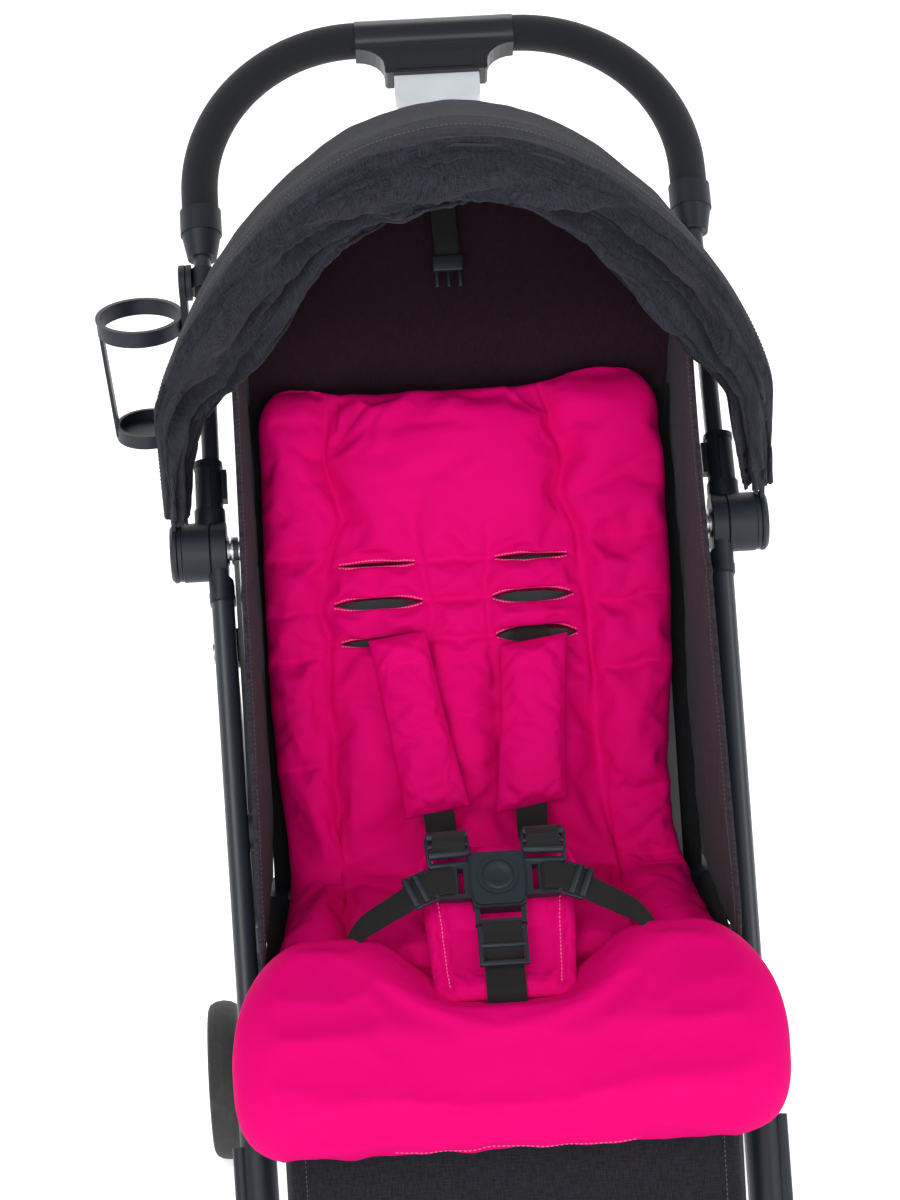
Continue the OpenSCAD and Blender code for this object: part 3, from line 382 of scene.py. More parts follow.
def blow_up(piece, held, pressure, slack, steps, most):
    """Runs the piece as cloth with air inside; held maps a vertex to how firmly it is sewn down."""
    start = points_of(piece)
    group = piece.vertex_groups.new(name="sewn")
    for firmness in sorted(set(held.values())):
        group.add([v for v, f in held.items() if f == firmness], firmness, "REPLACE")
    cloth = piece.modifiers.new("cloth", "CLOTH")
    fabric = cloth.settings
    fabric.quality = 5
    fabric.mass = 0.25
    fabric.tension_stiffness = fabric.compression_stiffness = 18
    fabric.shear_stiffness = 6
    fabric.bending_stiffness = 0.4
    fabric.tension_damping = fabric.compression_damping = fabric.shear_damping = 12
    fabric.air_damping = 4
    fabric.use_pressure = pressure != 0
    fabric.uniform_pressure_force = pressure
    fabric.vertex_group_mass = "sewn"
    fabric.pin_stiffness = 8
    fabric.shrink_min = -slack
    fabric.effector_weights.gravity = 0
    cloth.collision_settings.use_collision = False
    scene = bpy.context.scene
    cloth.point_cache.frame_start, cloth.point_cache.frame_end = 1, steps
    for step in range(1, steps + 1):
        scene.frame_set(step)
    blown = np.array([v.co for v in piece.evaluated_get(bpy.context.evaluated_depsgraph_get()).data.vertices])
    piece.modifiers.remove(cloth)
    scene.frame_set(1)
    moved = blown - start
    far = np.linalg.norm(moved, axis=1, keepdims=True)
    moved *= (
        np.minimum(1, most / np.maximum(far, 1e-9))
        * (np.tanh(far / most) / np.maximum(np.minimum(far / most, 1), 1e-9))
    )
    put_points(piece, start + moved)


def smooth_once(piece):
    """Rounds a piece off with one applied subdivision."""
    rounding = piece.modifiers.new("round", "SUBSURF")
    rounding.levels = rounding.render_levels = 1
    pick(piece)
    bpy.ops.object.modifier_apply(modifier="round")
    piece.data.shade_smooth()


liner_edges = [
    knots(
        [-.143, -.075, .014, .046, .095, .16, .241, .322, .396],
        [-.174, -.168, -.162, -.163, -.167, -.1705, -.170, -.169, -.167],
    ),
    knots(
        [-.1, .028, .092, .157, .205, .230, .264, .302, .352, .411],
        [-.118, -.118, -.120, -.120, -.119, -.125, -.118, -.104, -.113, -.109],
    ),
    knots(
        [-.1, .06, .154, .200, .225, .259, .299, .329, .408],
        [-.046, -.044, -.042, -.038, -.034, -.039, -.047, -.055, -.056],
    ),
    knots([-.1, .06, .173, .198, .242, .261, .330, .408], [.018, .016, .013, .012, .010, .014, .016, .012]),
    knots(
        [-.1, -.002, .039, .112, .173, .230, .281, .316, .341, .366, .414],
        [.104, .104, .100, .095, .094, .092, .088, .077, .080, .074, .062],
    ),
    knots(
        [-.143, -.075, .003, .044, .092, .173, .254, .328, .378, .408],
        [.174, .168, .160, .153, .152, .161, .1645, .1645, .163, .161],
    ),
]
liner_cols = [14, 18, 14, 18, 15]
liner_rows = 140
liner_length = seat_run + corner_run + back_run
row_b = np.linspace(0, liner_length, liner_rows)
slot_rows = [int(np.argmin(abs(row_b - up_back(s)))) for s in (0.201, 0.235, 0.267)]
top_curl = 0.030
columns = []
for row in row_b:
    edge = [line(row) for line in liner_edges]
    inset = max(0.0, row - (liner_length - top_curl)) / top_curl
    pull = top_curl * (1 - math.sqrt(max(0.0, 1 - inset * inset)))
    edge[0] += pull
    edge[-1] -= pull
    columns.append(
        np.concatenate(
            [np.linspace(a, b, n, endpoint=False) for a, b, n in zip(edge, edge[1:], liner_cols)]
            + [[edge[-1]]]
        )
    )
liner_x = np.array(columns)
seam_cols = np.cumsum(liner_cols)[:4]
stand = np.interp(
    liner_x, [-.17, -.15, -.125, -.10, -.07, .05, .075, .11, .14, .17],
    [.0, .006, .006, .001, 0, 0, .004, .012, .010, .0],
)
liner_b = row_b[:, None] + stand * (np.clip((row_b - up_back(.26)) / .13, 0, 1) ** 2)[:, None]
cross_seams = [
    (0, seam_cols[0], [.103, .190, .228, .273], .10),
    (seam_cols[3], liner_x.shape[1] - 1, [.015, .072, .172, .227, .278], .06),
]


def near_seam(distance, reach):
    """How full the wadding is at a distance from a seam: 0 on it, 1 from reach on, round between."""
    return np.sqrt(1 - (1 - np.clip(distance / reach, 0, 1)) ** 2)


rise = np.ones_like(liner_x)
sewn = np.zeros_like(liner_x)
for number, col in enumerate(seam_cols):
    line = liner_x[:, col][:, None]
    depth = np.full(liner_rows, 0.97)
    if number in (1, 2):
        depth = np.interp(
            row_b, [0, up_back(.02), up_back(.05), up_back(.26), up_back(.275), up_back(.30)],
            [0, 0, .45, .5, .4, 0],
        )
    fall = 1 - depth[:, None] * (1 - near_seam(abs(liner_x - line), 0.028))
    rise = np.minimum(rise, fall)
    firm = np.interp(row_b, [0, 0.03, 0.09, 1], [0.0, 0.3, 1, 1]) * (1.0 if number in (0, 3) else 0.0)
    if number in (1, 2):
        firm = (depth > 0.3) * 0.9
    sewn[:, col] = np.maximum(sewn[:, col], firm)
for first, last, places, slant in cross_seams:
    for s in places:
        place = up_back(s) + slant * (liner_x - liner_x[:, first:last].mean())
        gap = abs(liner_b - place)
        inside = np.zeros_like(rise)
        inside[:, first:last + 1] = 1
        rise = np.minimum(rise, 1 - 0.60 * inside * (1 - near_seam(gap, 0.020)))
        hit = (gap < 0.0022) & (inside > 0)
        sewn[hit] = np.maximum(sewn[hit], 0.7)
slits = []
slot_open = []
for row, (left_open, right_open) in zip(slot_rows, ((.0045, .0090), (.0055, .0062), (.0016, .0024))):
    gap = abs(liner_b - row_b[row])
    inside = np.zeros_like(rise)
    inside[:, seam_cols[0]:seam_cols[3] + 1] = 1
    rise = np.minimum(rise, 1 - 0.55 * inside * (1 - near_seam(gap, 0.016)))
    sewn[row, seam_cols[1]:seam_cols[2] + 1] = np.maximum(sewn[row, seam_cols[1]:seam_cols[2] + 1], 0.8)
    for first, last, wide in (
        (seam_cols[0] + 2, seam_cols[1] - 1, left_open), (seam_cols[2] + 1, seam_cols[3] - 2, right_open),
    ):
        slits.append((row, first, last))
        slot_open.append(wide)
half_thick = (liner_high.z - liner_low.z) / 2 - 0.0035
ends = np.minimum(near_seam(liner_b, 0.03), near_seam(liner_length - liner_b, 0.024))
sides = np.minimum(
    near_seam(liner_x - liner_x[:, :1], 0.022), near_seam(liner_x[:, -1:] - liner_x, 0.022)
)
crown = ends * sides
bolster = np.clip((liner_b - up_back(0.02)) / 0.08, 0, 1) * np.where(
    (liner_x < liner_x[:, seam_cols[0]][:, None]) | (liner_x > liner_x[:, seam_cols[3]][:, None]), 0.0045, 0.0
)
creases = np.array([
    field.noise(Vector((26 * x, 5 * b, 2.0)))
    for x, b in zip(liner_x.ravel(), liner_b.ravel())
]).reshape(liner_x.shape)
front_n = (half_thick + bolster) * crown * rise + 0.0016 * creases * crown
back_n = -half_thick * (ends * sides) ** 0.5
liner_front = on_liner(liner_x, liner_b, front_n)
liner_back = on_liner(liner_x, liner_b, back_n)
cloth_uv = np.stack([liner_x, liner_b], -1)
liner, front_at, back_at, lips = grid_solid("seat_liner", liner_front, liner_back, cloth_uv, slits)
spots = points_of(liner)
for (low_front, high_front, low_back, high_back), wide in zip(lips, slot_open):
    for low, high in ((low_front, high_front), (low_back, high_back)):
        run = np.linspace(-1, 1, len(low))
        spread = wide * (1 - run ** 2)[:, None] * np.array([0, math.cos(back_slope), math.sin(back_slope)])
        for i in range(1, len(low) - 1):
            spots[low[i]] -= spread[i]
            spots[high[i]] += spread[i]
put_points(liner, spots)
held = {int(v): 1.0 for v in np.unique(back_at)}
for r, c in zip(*np.nonzero(sewn > 0)):
    held[int(front_at[r, c])] = round(float(sewn[r, c]), 1)
for low_front, high_front, low_back, high_back in lips:
    for v in (*low_front, *high_front, *low_back, *high_back):
        held[int(v)] = 1.0
blow_up(liner, held, 3.5, 0.07, 14, 0.012)
smooth_once(liner)

sateen = Finish("pink cotton sateen")
thread_way = sateen.add("ShaderNodeUVMap", {"uv_map": "cloth"})
warp = sateen.grain(1.0, 2.0, at=sateen.stretch((2600, 240, 1), thread_way))
weft = sateen.grain(1.0, 2.0, at=sateen.stretch((240, 2600, 1), thread_way))
dye = sateen.grain(9, 3.0)
sateen.set(
    Base_Color=sateen.between(dye * 0.6 + warp * 0.4, (0.62, 0.0, 0.125, 1), (0.70, 0.0, 0.150, 1)),
    Roughness=0.68 + weft * 0.16,
    Normal=sateen.bump(warp + weft, 0.22, 0.0003),
    Specular_IOR_Level=0.06,
    Sheen_Weight=0.07,
    Sheen_Roughness=0.35,
    Sheen_Tint=(1, 0.02, 0.35, 1),
)
liner.data.materials.append(sateen.material)
on_liner(0, seat_run - 0.02, 0)
on_liner(0, up_back(0.05), 0)
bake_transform(liner)
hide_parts("liner_seat", "liner_back")

# ---------------------------------------------------------------- front roll of the liner
# The front end of the same liner widens past the seat, rolls over its edge and hangs on the
# calf rest. It is one full pillow with a stitched lower hem that the wadding puckers.
outer_line = [
    (-0.196, 0.407), (-0.203, 0.4315), (-0.225, 0.437), (-0.250, 0.4335), (-0.280, 0.4205), (-0.305, 0.400),
    (-0.321, 0.374), (-0.3262, 0.350), (-0.3225, 0.326), (-0.3125, 0.309), (-0.298, 0.2985),
]
crotch_line = [
    (-0.208, 0.3950), (-0.224, 0.3985), (-0.243, 0.3985), (-0.262, 0.4005), (-0.279, 0.4065),
    (-0.297, 0.4005), (-0.312, 0.379), (-0.3225, 0.352), (-0.3210, 0.327), (-0.3125, 0.309),
    (-0.298, 0.2985),
]
inner_line = [
    (-0.196, 0.405), (-0.215, 0.392), (-0.240, 0.390), (-0.258, 0.389), (-0.2675, 0.382), (-0.270, 0.366),
    (-0.274, 0.350), (-0.279, 0.333), (-0.284, 0.317), (-0.290, 0.305), (-0.297, 0.2985),
]


def run_along(path):
    """The distance walked from the start of a line to each of its points."""
    return np.concatenate([[0], np.cumsum(np.linalg.norm(np.diff(path, axis=0), axis=1))])


def smooth_line(points, count):
    """Even points along a curve drawn through the given ones."""
    points = np.array(points, float)
    ends = np.concatenate([[2 * points[0] - points[1]], points, [2 * points[-1] - points[-2]]])
    t = np.linspace(0, len(points) - 1, 400)
    i = np.minimum(t.astype(int), len(points) - 2)
    f = (t - i)[:, None]
    a, b, c, d = ends[i], ends[i + 1], ends[i + 2], ends[i + 3]
    curve = 0.5 * (2 * b + (c - a) * f + (2 * a - 5 * b + 4 * c - d) * f**2 + (3 * b - 3 * c + d - a) * f**3)
    run = run_along(curve)
    even = np.linspace(0, run[-1], count)
    return np.stack([np.interp(even, run, curve[:, k]) for k in range(curve.shape[1])], -1)


roll_rows, roll_cols = 56, 104
outer_yz = smooth_line(outer_line, roll_rows)
inner_yz = smooth_line(inner_line, roll_rows)
crotch_yz = smooth_line(crotch_line, roll_rows)
down = np.linspace(0, 1, roll_rows)
half_at = np.interp(
    down, [0, 0.08, 0.17, 0.28, 0.4, 0.55, 0.75, 0.86, 0.93, 1.0],
    [0.158, 0.166, 0.180, 0.192, 0.2005, 0.2062, 0.2055, 0.199, 0.188, 0.168],
)
half_at = np.convolve(np.pad(half_at, 3, mode="edge"), np.ones(7) / 7, "valid")
side = np.linspace(-1, 1, roll_cols)
side = np.sign(side) * (1 - (1 - abs(side)) ** 1.25)
roll_x = half_at[:, None] * side[None]
thin = near_seam(1 - abs(side), 0.16)[None] * np.ones((roll_rows, 1))
middle = 0.5 * (outer_yz + inner_yz)
roll_front = np.zeros((roll_rows, roll_cols, 3))
roll_back = np.zeros_like(roll_front)
for sheet_points, line in ((roll_front, outer_yz), (roll_back, inner_yz)):
    sheet_points[..., 0] = roll_x + mid_x
    for k in (0, 1):
        sheet_points[..., k + 1] = middle[:, None, k] + (line - middle)[:, None, k] * thin
notch = np.exp(-(np.abs(roll_x) / 0.076) ** 4)
for k in (0, 1):
    roll_front[..., k + 1] += notch * thin * (crotch_yz - outer_yz)[:, None, k]
hem_pull = np.clip((down - 0.8) / 0.2, 0, 1)[:, None]
pucker = np.sin(roll_x * 74 + 0.8) * 0.35 + np.sin(roll_x * 131 + 2.1) * 0.4 + np.sin(roll_x * 219) * 0.25
for sheet_points in (roll_front, roll_back):
    sheet_points[..., 2] += hem_pull ** 2 * 0.0022 * pucker
roll_uv = np.stack([roll_x, -0.36 * down[:, None] * np.ones_like(roll_x)], -1)
roll, roll_front_at, roll_back_at, _ = grid_solid("liner_front_roll", roll_front, roll_back, roll_uv)
held = {int(v): 1.0 for v in roll_back_at[:, 8:-8].ravel()}
for v in (*roll_front_at[0], *roll_front_at[-1]):
    held[int(v)] = 1.0
for r, c in zip(*np.nonzero((notch > 0.4) & (down[:, None] < 0.36))):
    held[int(roll_front_at[r, c])] = 0.9
blow_up(roll, held, 4.5, 0.006, 14, 0.007)
smooth_once(roll)
roll.data.materials.append(sateen.material)
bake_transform(roll)
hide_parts("liner_lobe")

# ---------------------------------------------------------------- strap pads
# Two padded sleeves close round the shoulder straps and one pad lies behind the buckle.
# They are bagged out of the liner's sateen, with a stitched border and a thin filling.


def bagged_pad(name, corners, lift, thick, rows, cols, border):
    """A stuffed pad over its corners, left low, right low, right high and left high.

    Lift is the direction that its front faces.
    """
    low_left, low_right, high_right, high_left = [np.array(c, float) for c in corners]
    u = np.linspace(0, 1, cols)[None, :, None]
    v = np.linspace(0, 1, rows)[:, None, None]
    flat = (low_left * (1 - u) + low_right * u) * (1 - v) + (high_left * (1 - u) + high_right * u) * v
    wide = np.linalg.norm(low_right - low_left)
    tall = np.linalg.norm(high_left - low_left)
    gap = np.minimum(np.minimum(u, 1 - u) * wide, np.minimum(v, 1 - v) * tall)[..., 0]
    waist = 0.06 * wide * (4 * v * (1 - v)) * (0.5 - u)
    flat = flat + waist * (low_right - low_left) / wide
    puff = near_seam(gap - border * 0.5, 0.016) * (gap > border * 0.5)
    out = np.array(lift, float)
    front = flat + out * (thick / 2) * (0.12 + 0.88 * puff)[..., None] * (gap > 1e-6)[..., None]
    back = flat - out * (thick / 2) * (0.12 + 0.7 * puff)[..., None] * (gap > 1e-6)[..., None]
    uv = np.stack([u[..., 0] * wide * np.ones((rows, 1)), v[..., 0] * tall * np.ones((1, cols))], -1)
    pad, front_at, back_at, _ = grid_solid(name, front, back, uv)
    held = {int(i): 1.0 for i in np.unique(back_at)}
    ring = (gap <= border) & (gap > border * 0.4)
    for r, c in zip(*np.nonzero(ring | (gap < 1e-6))):
        held[int(front_at[r, c])] = 0.9
    blow_up(pad, held, 7.0, 0.09, 12, 0.007)
    smooth_once(pad)
    pad.data.materials.append(sateen.material)
    return pad


def up_the_back(x, s, n):
    """A point on the backrest: x from the middle, s up from the pivot, n out from the pivot plane."""
    return np.array(recline_pivot) + [
        x + mid_x - recline_pivot.x,
        s * math.cos(back_slope) - n * math.sin(back_slope),
        s * math.sin(back_slope) + n * math.cos(back_slope),
    ]


back_out = up_the_back(0, 0, 1) - up_the_back(0, 0, 0)
right_shoulder_pad = bagged_pad(
    "shoulder_pad_right",
    [
        up_the_back(-0.066, 0.056, 0.046), up_the_back(-0.012, 0.064, 0.046),
        up_the_back(-0.040, 0.209, 0.041), up_the_back(-0.088, 0.203, 0.041),
    ],
    back_out, 0.017, 44, 20, 0.005,
)
left_shoulder_pad = bagged_pad(
    "shoulder_pad_left",
    [
        up_the_back(0.006, 0.056, 0.046), up_the_back(0.066, 0.066, 0.046),
        up_the_back(0.075, 0.201, 0.041), up_the_back(0.018, 0.193, 0.041),
    ],
    back_out, 0.017, 44, 20, 0.005,
)
for pad in (right_shoulder_pad, left_shoulder_pad):
    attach(pad, "backrest")
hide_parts("shoulder_harness")

# The pad behind the buckle is sewn into the crease of the seat. It lies flat there and then
# stands up at the slope of the buckle, with light pink stitching inside its side edges.
pad_rows, pad_cols, pad_length = 52, 46, 0.148


def heading(path):
    """The direction of travel at each point of a line, one metre long."""
    ahead = np.gradient(path, axis=0)
    return ahead / np.linalg.norm(ahead, axis=1, keepdims=True)


pad_line = smooth_line(
    [
        (-0.2575, 0.4015), (-0.2450, 0.4055), (-0.2300, 0.4125), (-0.2165, 0.4220), (-0.2024, 0.4335),
        (-0.1800, 0.4525), (-0.1560, 0.4730), (-0.1495, 0.4790),
    ],
    pad_rows,
)
pad_ahead = heading(pad_line)
pad_across = np.linspace(-1, 1, pad_cols)
pad_run = np.linspace(0, 1, pad_rows)
pad_half = np.interp(pad_run, [0, 0.1, 0.5, 0.86, 1], [0.050, 0.054, 0.058, 0.062, 0.060])
pad_round = np.sqrt(
    1 - (np.clip((pad_run - 0.84) / 0.16, 0, 1) ** 2.6) * 0.36
    - (np.clip(1 - pad_run / 0.08, 0, 1) ** 2) * 0.25
)
pad_x = (pad_half * pad_round)[:, None] * pad_across[None]
pad_gap = np.minimum(
    (1 - abs(pad_across))[None] * pad_half[:, None],
    (np.minimum(pad_run, 1 - pad_run) * pad_length)[:, None],
)
quilt = (
    near_seam(pad_gap, 0.010)
    * (
        1
        - 0.45 * np.exp(-(((abs(pad_x) - pad_half[:, None] + 0.011) / 0.0025) ** 2))
        * (pad_run[:, None] < 0.93)
    )
)
pad_front = np.zeros((pad_rows, pad_cols, 3))
pad_front[..., 0] = mid_x + pad_x
pad_front[..., 1:] = pad_line[:, None]
pad_rear = pad_front.copy()
for grid, lift in ((pad_front, 0.0062), (pad_rear, -0.0030)):
    grid[..., 1] -= pad_ahead[:, None, 1] * lift * quilt
    grid[..., 2] += pad_ahead[:, None, 0] * lift * quilt
pad_uv = np.stack([pad_x, pad_run[:, None] * pad_length * np.ones_like(pad_x)], -1)
crotch_pad, pad_front_at, pad_rear_at, _ = grid_solid("crotch_pad_cover", pad_front, pad_rear, pad_uv)
pad_held = {int(v): 1.0 for v in np.unique(pad_rear_at)}
for row, col in zip(*np.nonzero((pad_gap < 1e-6) | (abs(abs(pad_x) - pad_half[:, None] + 0.011) < 0.0016))):
    pad_held[int(pad_front_at[row, col])] = 0.9
blow_up(crotch_pad, pad_held, 5.0, 0.05, 12, 0.0032)
smooth_once(crotch_pad)
crotch_pad.data.materials.append(sateen.material)
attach(crotch_pad, "chassis")
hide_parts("crotch_pad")

# ---------------------------------------------------------------- harness webbing
# Black polyester webbing, 25 mm wide, woven flat and folded through the adjusters. Each
# strap is one closed ribbon that follows its own line through the slots and loops.


def face_outwards(piece):
    """Turns every face of a closed mesh to look outwards."""
    pick(piece)
    bpy.ops.object.mode_set(mode="EDIT")
    bpy.ops.mesh.select_all(action="SELECT")
    bpy.ops.mesh.normals_make_consistent(inside=False)
    bpy.ops.object.mode_set(mode="OBJECT")


def ribbon(name, line, across, wide=0.025, thick=0.0016, count=60):
    """A flat closed strap along a line; across gives its width direction at each given point."""
    line = np.array(line, float)
    packed = np.concatenate([line, np.array(across, float)], 1)
    even = smooth_line(packed, count)
    path, side_way = even[:, :3], even[:, 3:]
    ahead = heading(path)
    side_way -= ahead * (side_way * ahead).sum(1, keepdims=True)
    side_way /= np.linalg.norm(side_way, axis=1, keepdims=True)
    face_way = np.cross(ahead, side_way)
    profile = np.array([
        (-0.5, -0.3), (-0.46, -0.5), (-0.25, -0.5), (0, -0.5), (0.25, -0.5), (0.46, -0.5), (0.5, -0.3),
        (0.5, 0.3), (0.46, 0.5), (0.25, 0.5), (0, 0.5), (-0.25, 0.5), (-0.46, 0.5), (-0.5, 0.3),
    ])
    ring = len(profile)
    points = (
        path[:, None] + side_way[:, None] * profile[None, :, :1] * wide
        + face_way[:, None] * profile[None, :, 1:] * thick
    )
    faces = [
        [i * ring + k, i * ring + (k + 1) % ring, (i + 1) * ring + (k + 1) % ring, (i + 1) * ring + k]
        for i in range(count - 1) for k in range(ring)
    ]
    faces += [list(range(ring))[::-1], [(count - 1) * ring + k for k in range(ring)]]
    mesh = bpy.data.meshes.new(name)
    mesh.from_pydata(points.reshape(-1, 3), [], faces)
    lay_out(mesh, np.stack([np.tile(profile[:, 0] * wide, count), np.repeat(run_along(path), ring)], -1))
    strap = put_in_scene(name, mesh)
    face_outwards(strap)
    bpy.ops.object.shade_smooth_by_angle(angle=math.radians(40))
    strap.data.materials.append(webbing.material)
    return strap


webbing = Finish("black polyester webbing")
strap_way = webbing.add("ShaderNodeUVMap", {"uv_map": "cloth"})
split = webbing.add("ShaderNodeSeparateXYZ", None, {0: strap_way})
along_strap = webbing.add("ShaderNodeSeparateXYZ", None, {0: strap_way}, output=1)
ribs = (along_strap * 4200 + split * 2100).wave()
rows_of_yarn = (split * 5000).wave()
fuzz = webbing.grain(500, 3.0)
webbing.set(
    Base_Color=webbing.between(
        fuzz * 0.6 + ribs * 0.2 + 0.2, (0.0026, 0.0024, 0.003, 1), (0.0105, 0.0098, 0.0115, 1),
    ),
    Roughness=0.62 + fuzz * 0.2, Normal=webbing.bump(ribs * 0.5 + rows_of_yarn * 0.35, 0.5, 0.0003),
    Specular_IOR_Level=0.25, Sheen_Weight=0.08, Sheen_Roughness=0.5,
)

buckle_tilt = math.radians(40)


def on_buckle(x, y, z):
    """A point in the buckle's own frame: y up its face, z out of it."""
    return np.array([
        mid_x + x,
        buckle_centre[1] + y * math.cos(buckle_tilt) - z * math.sin(buckle_tilt),
        buckle_centre[2] + y * math.sin(buckle_tilt) + z * math.cos(buckle_tilt),
    ])


buckle_centre = np.array([mid_x, -0.190, 0.466])
right_way = (1, 0, 0)
for name, top_x, pad_x, lock_x in (
    ("shoulder_strap_right", -0.070, -0.039, -0.0365), ("shoulder_strap_left", 0.046, 0.036, 0.0365),
):
    lean = (1, 0, -(pad_x - top_x) / 0.14)
    strap = ribbon(
        name,
        [
            up_the_back(top_x, 0.210, 0.012), up_the_back(top_x, 0.203, 0.028),
            up_the_back(top_x * 0.9 + pad_x * 0.1, 0.185, 0.0425),
            up_the_back((top_x + pad_x) / 2, 0.13, 0.045), up_the_back(pad_x, 0.060, 0.046),
            up_the_back(pad_x * 0.6 + lock_x * 0.4, 0.035, 0.055), on_buckle(lock_x * 0.97, 0.0415, 0.0065),
            on_buckle(lock_x, 0.022, 0.003),
        ],
        [right_way, right_way, lean, lean, lean, right_way, right_way, right_way],
    )
    up_the_back(pad_x, 0.075, 0.046)
    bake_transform(strap)

for name, way in (("waist_strap_right", -1), ("waist_strap_left", 1)):
    strap = ribbon(
        name,
        [
            on_buckle(way * 0.0395, 0.001, -0.0052), on_buckle(way * 0.0325, 0.001, -0.0058),
            on_buckle(way * 0.0305, 0.001, 0.0), on_buckle(way * 0.0335, 0.001, 0.0062),
            on_buckle(way * 0.0400, 0.001, 0.0060), on_buckle(way * 0.050, 0.0, 0.0052),
            on_buckle(way * 0.061, -0.005, 0.0040), on_buckle(way * 0.073, -0.012, 0.0),
            (mid_x + way * 0.089, -0.2015, 0.4500), (mid_x + way * 0.106, -0.2065, 0.4405),
            (mid_x + way * 0.1165, -0.2095, 0.4265), (mid_x + way * 0.1185, -0.2095, 0.4120),
            (mid_x + way * 0.1185, -0.2085, 0.402),
        ],
        [on_buckle(0, 1, 0) - on_buckle(0, 0, 0)] * 7
        + [
            (0, 0.80, 0.60), (0, 0.86, 0.5), (0.1 * way, 0.93, 0.32), (0.2 * way, 0.98, 0.1),
            (0.2 * way, 1, 0), (0.2 * way, 1, 0),
        ],
        wide=0.0215, count=110,
    )
    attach(strap, "chassis")
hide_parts("lap_harness")

crotch_strap = ribbon(
    "crotch_strap",
    [
        on_buckle(0, -0.0300, -0.0045), on_buckle(0, -0.0350, -0.0042), on_buckle(0, -0.0370, 0.0),
        on_buckle(0, -0.0345, 0.0044), on_buckle(0, -0.0370, 0.0046), on_buckle(0, -0.0430, 0.0040),
        on_buckle(0, -0.0500, 0.0044), on_buckle(0, -0.0590, 0.0024), on_buckle(0, -0.0680, -0.0015),
        (mid_x, -0.2495, 0.4135), (mid_x, -0.2575, 0.4085), (mid_x, -0.2600, 0.3985),
    ],
    [right_way] * 12, wide=0.030, count=110,
)
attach(crotch_strap, "chassis")


# Moulded slides of the harness: a ladder lock on each shoulder strap, a three-bar slide on
# each waist strap and a one-bar slide on the crotch strap, all with rounded edges.
def moulded_slide(name, outer, window, thick, bars, place, turn, body):
    """A flat frame cut by one window, with round bars across it; each bar is (height, radius, lift)."""
    pick()
    bpy.ops.mesh.primitive_plane_add(size=1, location=(0, 0, 0))
    slide = bpy.context.object
    slide.name = name
    slide.scale = (outer[0], outer[1], 1)
    bpy.ops.object.transform_apply(location=True, rotation=True, scale=True)
    bpy.ops.object.mode_set(mode="EDIT")
    bpy.ops.mesh.select_all(action="SELECT")
    bpy.ops.mesh.inset(thickness=(outer[0] - window[0]) / 2, depth=0)
    bpy.ops.transform.resize(value=(1, window[1] / (outer[1] - outer[0] + window[0]), 1))
    bpy.ops.mesh.delete(type="FACE")
    bpy.ops.mesh.select_all(action="SELECT")
    bpy.ops.mesh.extrude_region_move(TRANSFORM_OT_translate={"value": (0, 0, thick)})
    bpy.ops.mesh.select_all(action="SELECT")
    bpy.ops.transform.translate(value=(0, 0, -thick / 2))
    bpy.ops.mesh.normals_make_consistent(inside=False)
    bpy.ops.object.mode_set(mode="OBJECT")
    edges = slide.modifiers.new("edges", "BEVEL")
    edges.width = thick * 0.28
    edges.segments = 3
    bpy.ops.object.modifier_apply(modifier="edges")
    parts = [slide]
    for height, radius, lift in bars:
        pick()
        bpy.ops.mesh.primitive_cylinder_add(
            vertices=20, radius=radius, depth=outer[0] - 0.003, location=(0, height, lift),
            rotation=(0, math.pi / 2, 0),
        )
        bar = bpy.context.object
        bpy.ops.object.transform_apply(location=True, rotation=True, scale=True)
        ends = bar.modifiers.new("ends", "BEVEL")
        ends.width = radius * 0.3
        ends.segments = 2
        bpy.ops.object.modifier_apply(modifier="ends")
        parts.append(bar)
    pick(*parts)
    bpy.ops.object.join()
    slide.data.transform(Matrix.Translation(Vector(place)) @ turn.to_4x4())
    bpy.ops.object.shade_smooth_by_angle(angle=math.radians(35))
    slide.data.materials.clear()
    slide.data.materials.append(black_nylon.material)
    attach(slide, body)
    return slide


buckle_turn = Matrix.Rotation(buckle_tilt, 3, "X")
moulded_slide(
    "crotch_slide", (0.0375, 0.034), (0.0305, 0.0255), 0.0042, [(0.0, 0.0021, 0.0006)],
    on_buckle(0, -0.0535, 0.0036), Matrix.Rotation(math.radians(36), 3, "X"), "chassis",
)
for name, way, lean in (("ladder_lock_right", -1, 0.10), ("ladder_lock_left", 1, -0.06)):
    moulded_slide(
        name, (0.0345, 0.026), (0.0275, 0.019), 0.0045,
        [
            (0.0125, 0.0036, 0.0022), (0.0045, 0.0024, 0.0016), (-0.0030, 0.0034, 0.0020),
            (-0.0115, 0.0028, 0.0),
        ],
        on_buckle(way * 0.0365, 0.0270, 0.0020), Matrix.Rotation(lean, 3, "Z") @ buckle_turn, "chassis",
    )
for name, way in (("waist_slide_right", -1), ("waist_slide_left", 1)):
    moulded_slide(
        name, (0.0275, 0.021), (0.0225, 0.015), 0.0040,
        [(0.0085, 0.0030, 0.0012), (0.0, 0.0030, 0.0018), (-0.0085, 0.0026, 0.0008)],
        on_buckle(way * 0.0585, -0.0035, 0.0022),
        buckle_turn @ Matrix.Rotation(way * math.radians(-90 - 22), 3, "Z"), "chassis",
    )

# ---------------------------------------------------------------- grey cloths and threads
# The shell fabrics: a grey melange polyester outside, a dark aubergine lining inside, and
# the sewing threads. All are woven, so their yarns follow the cloth and not the object.


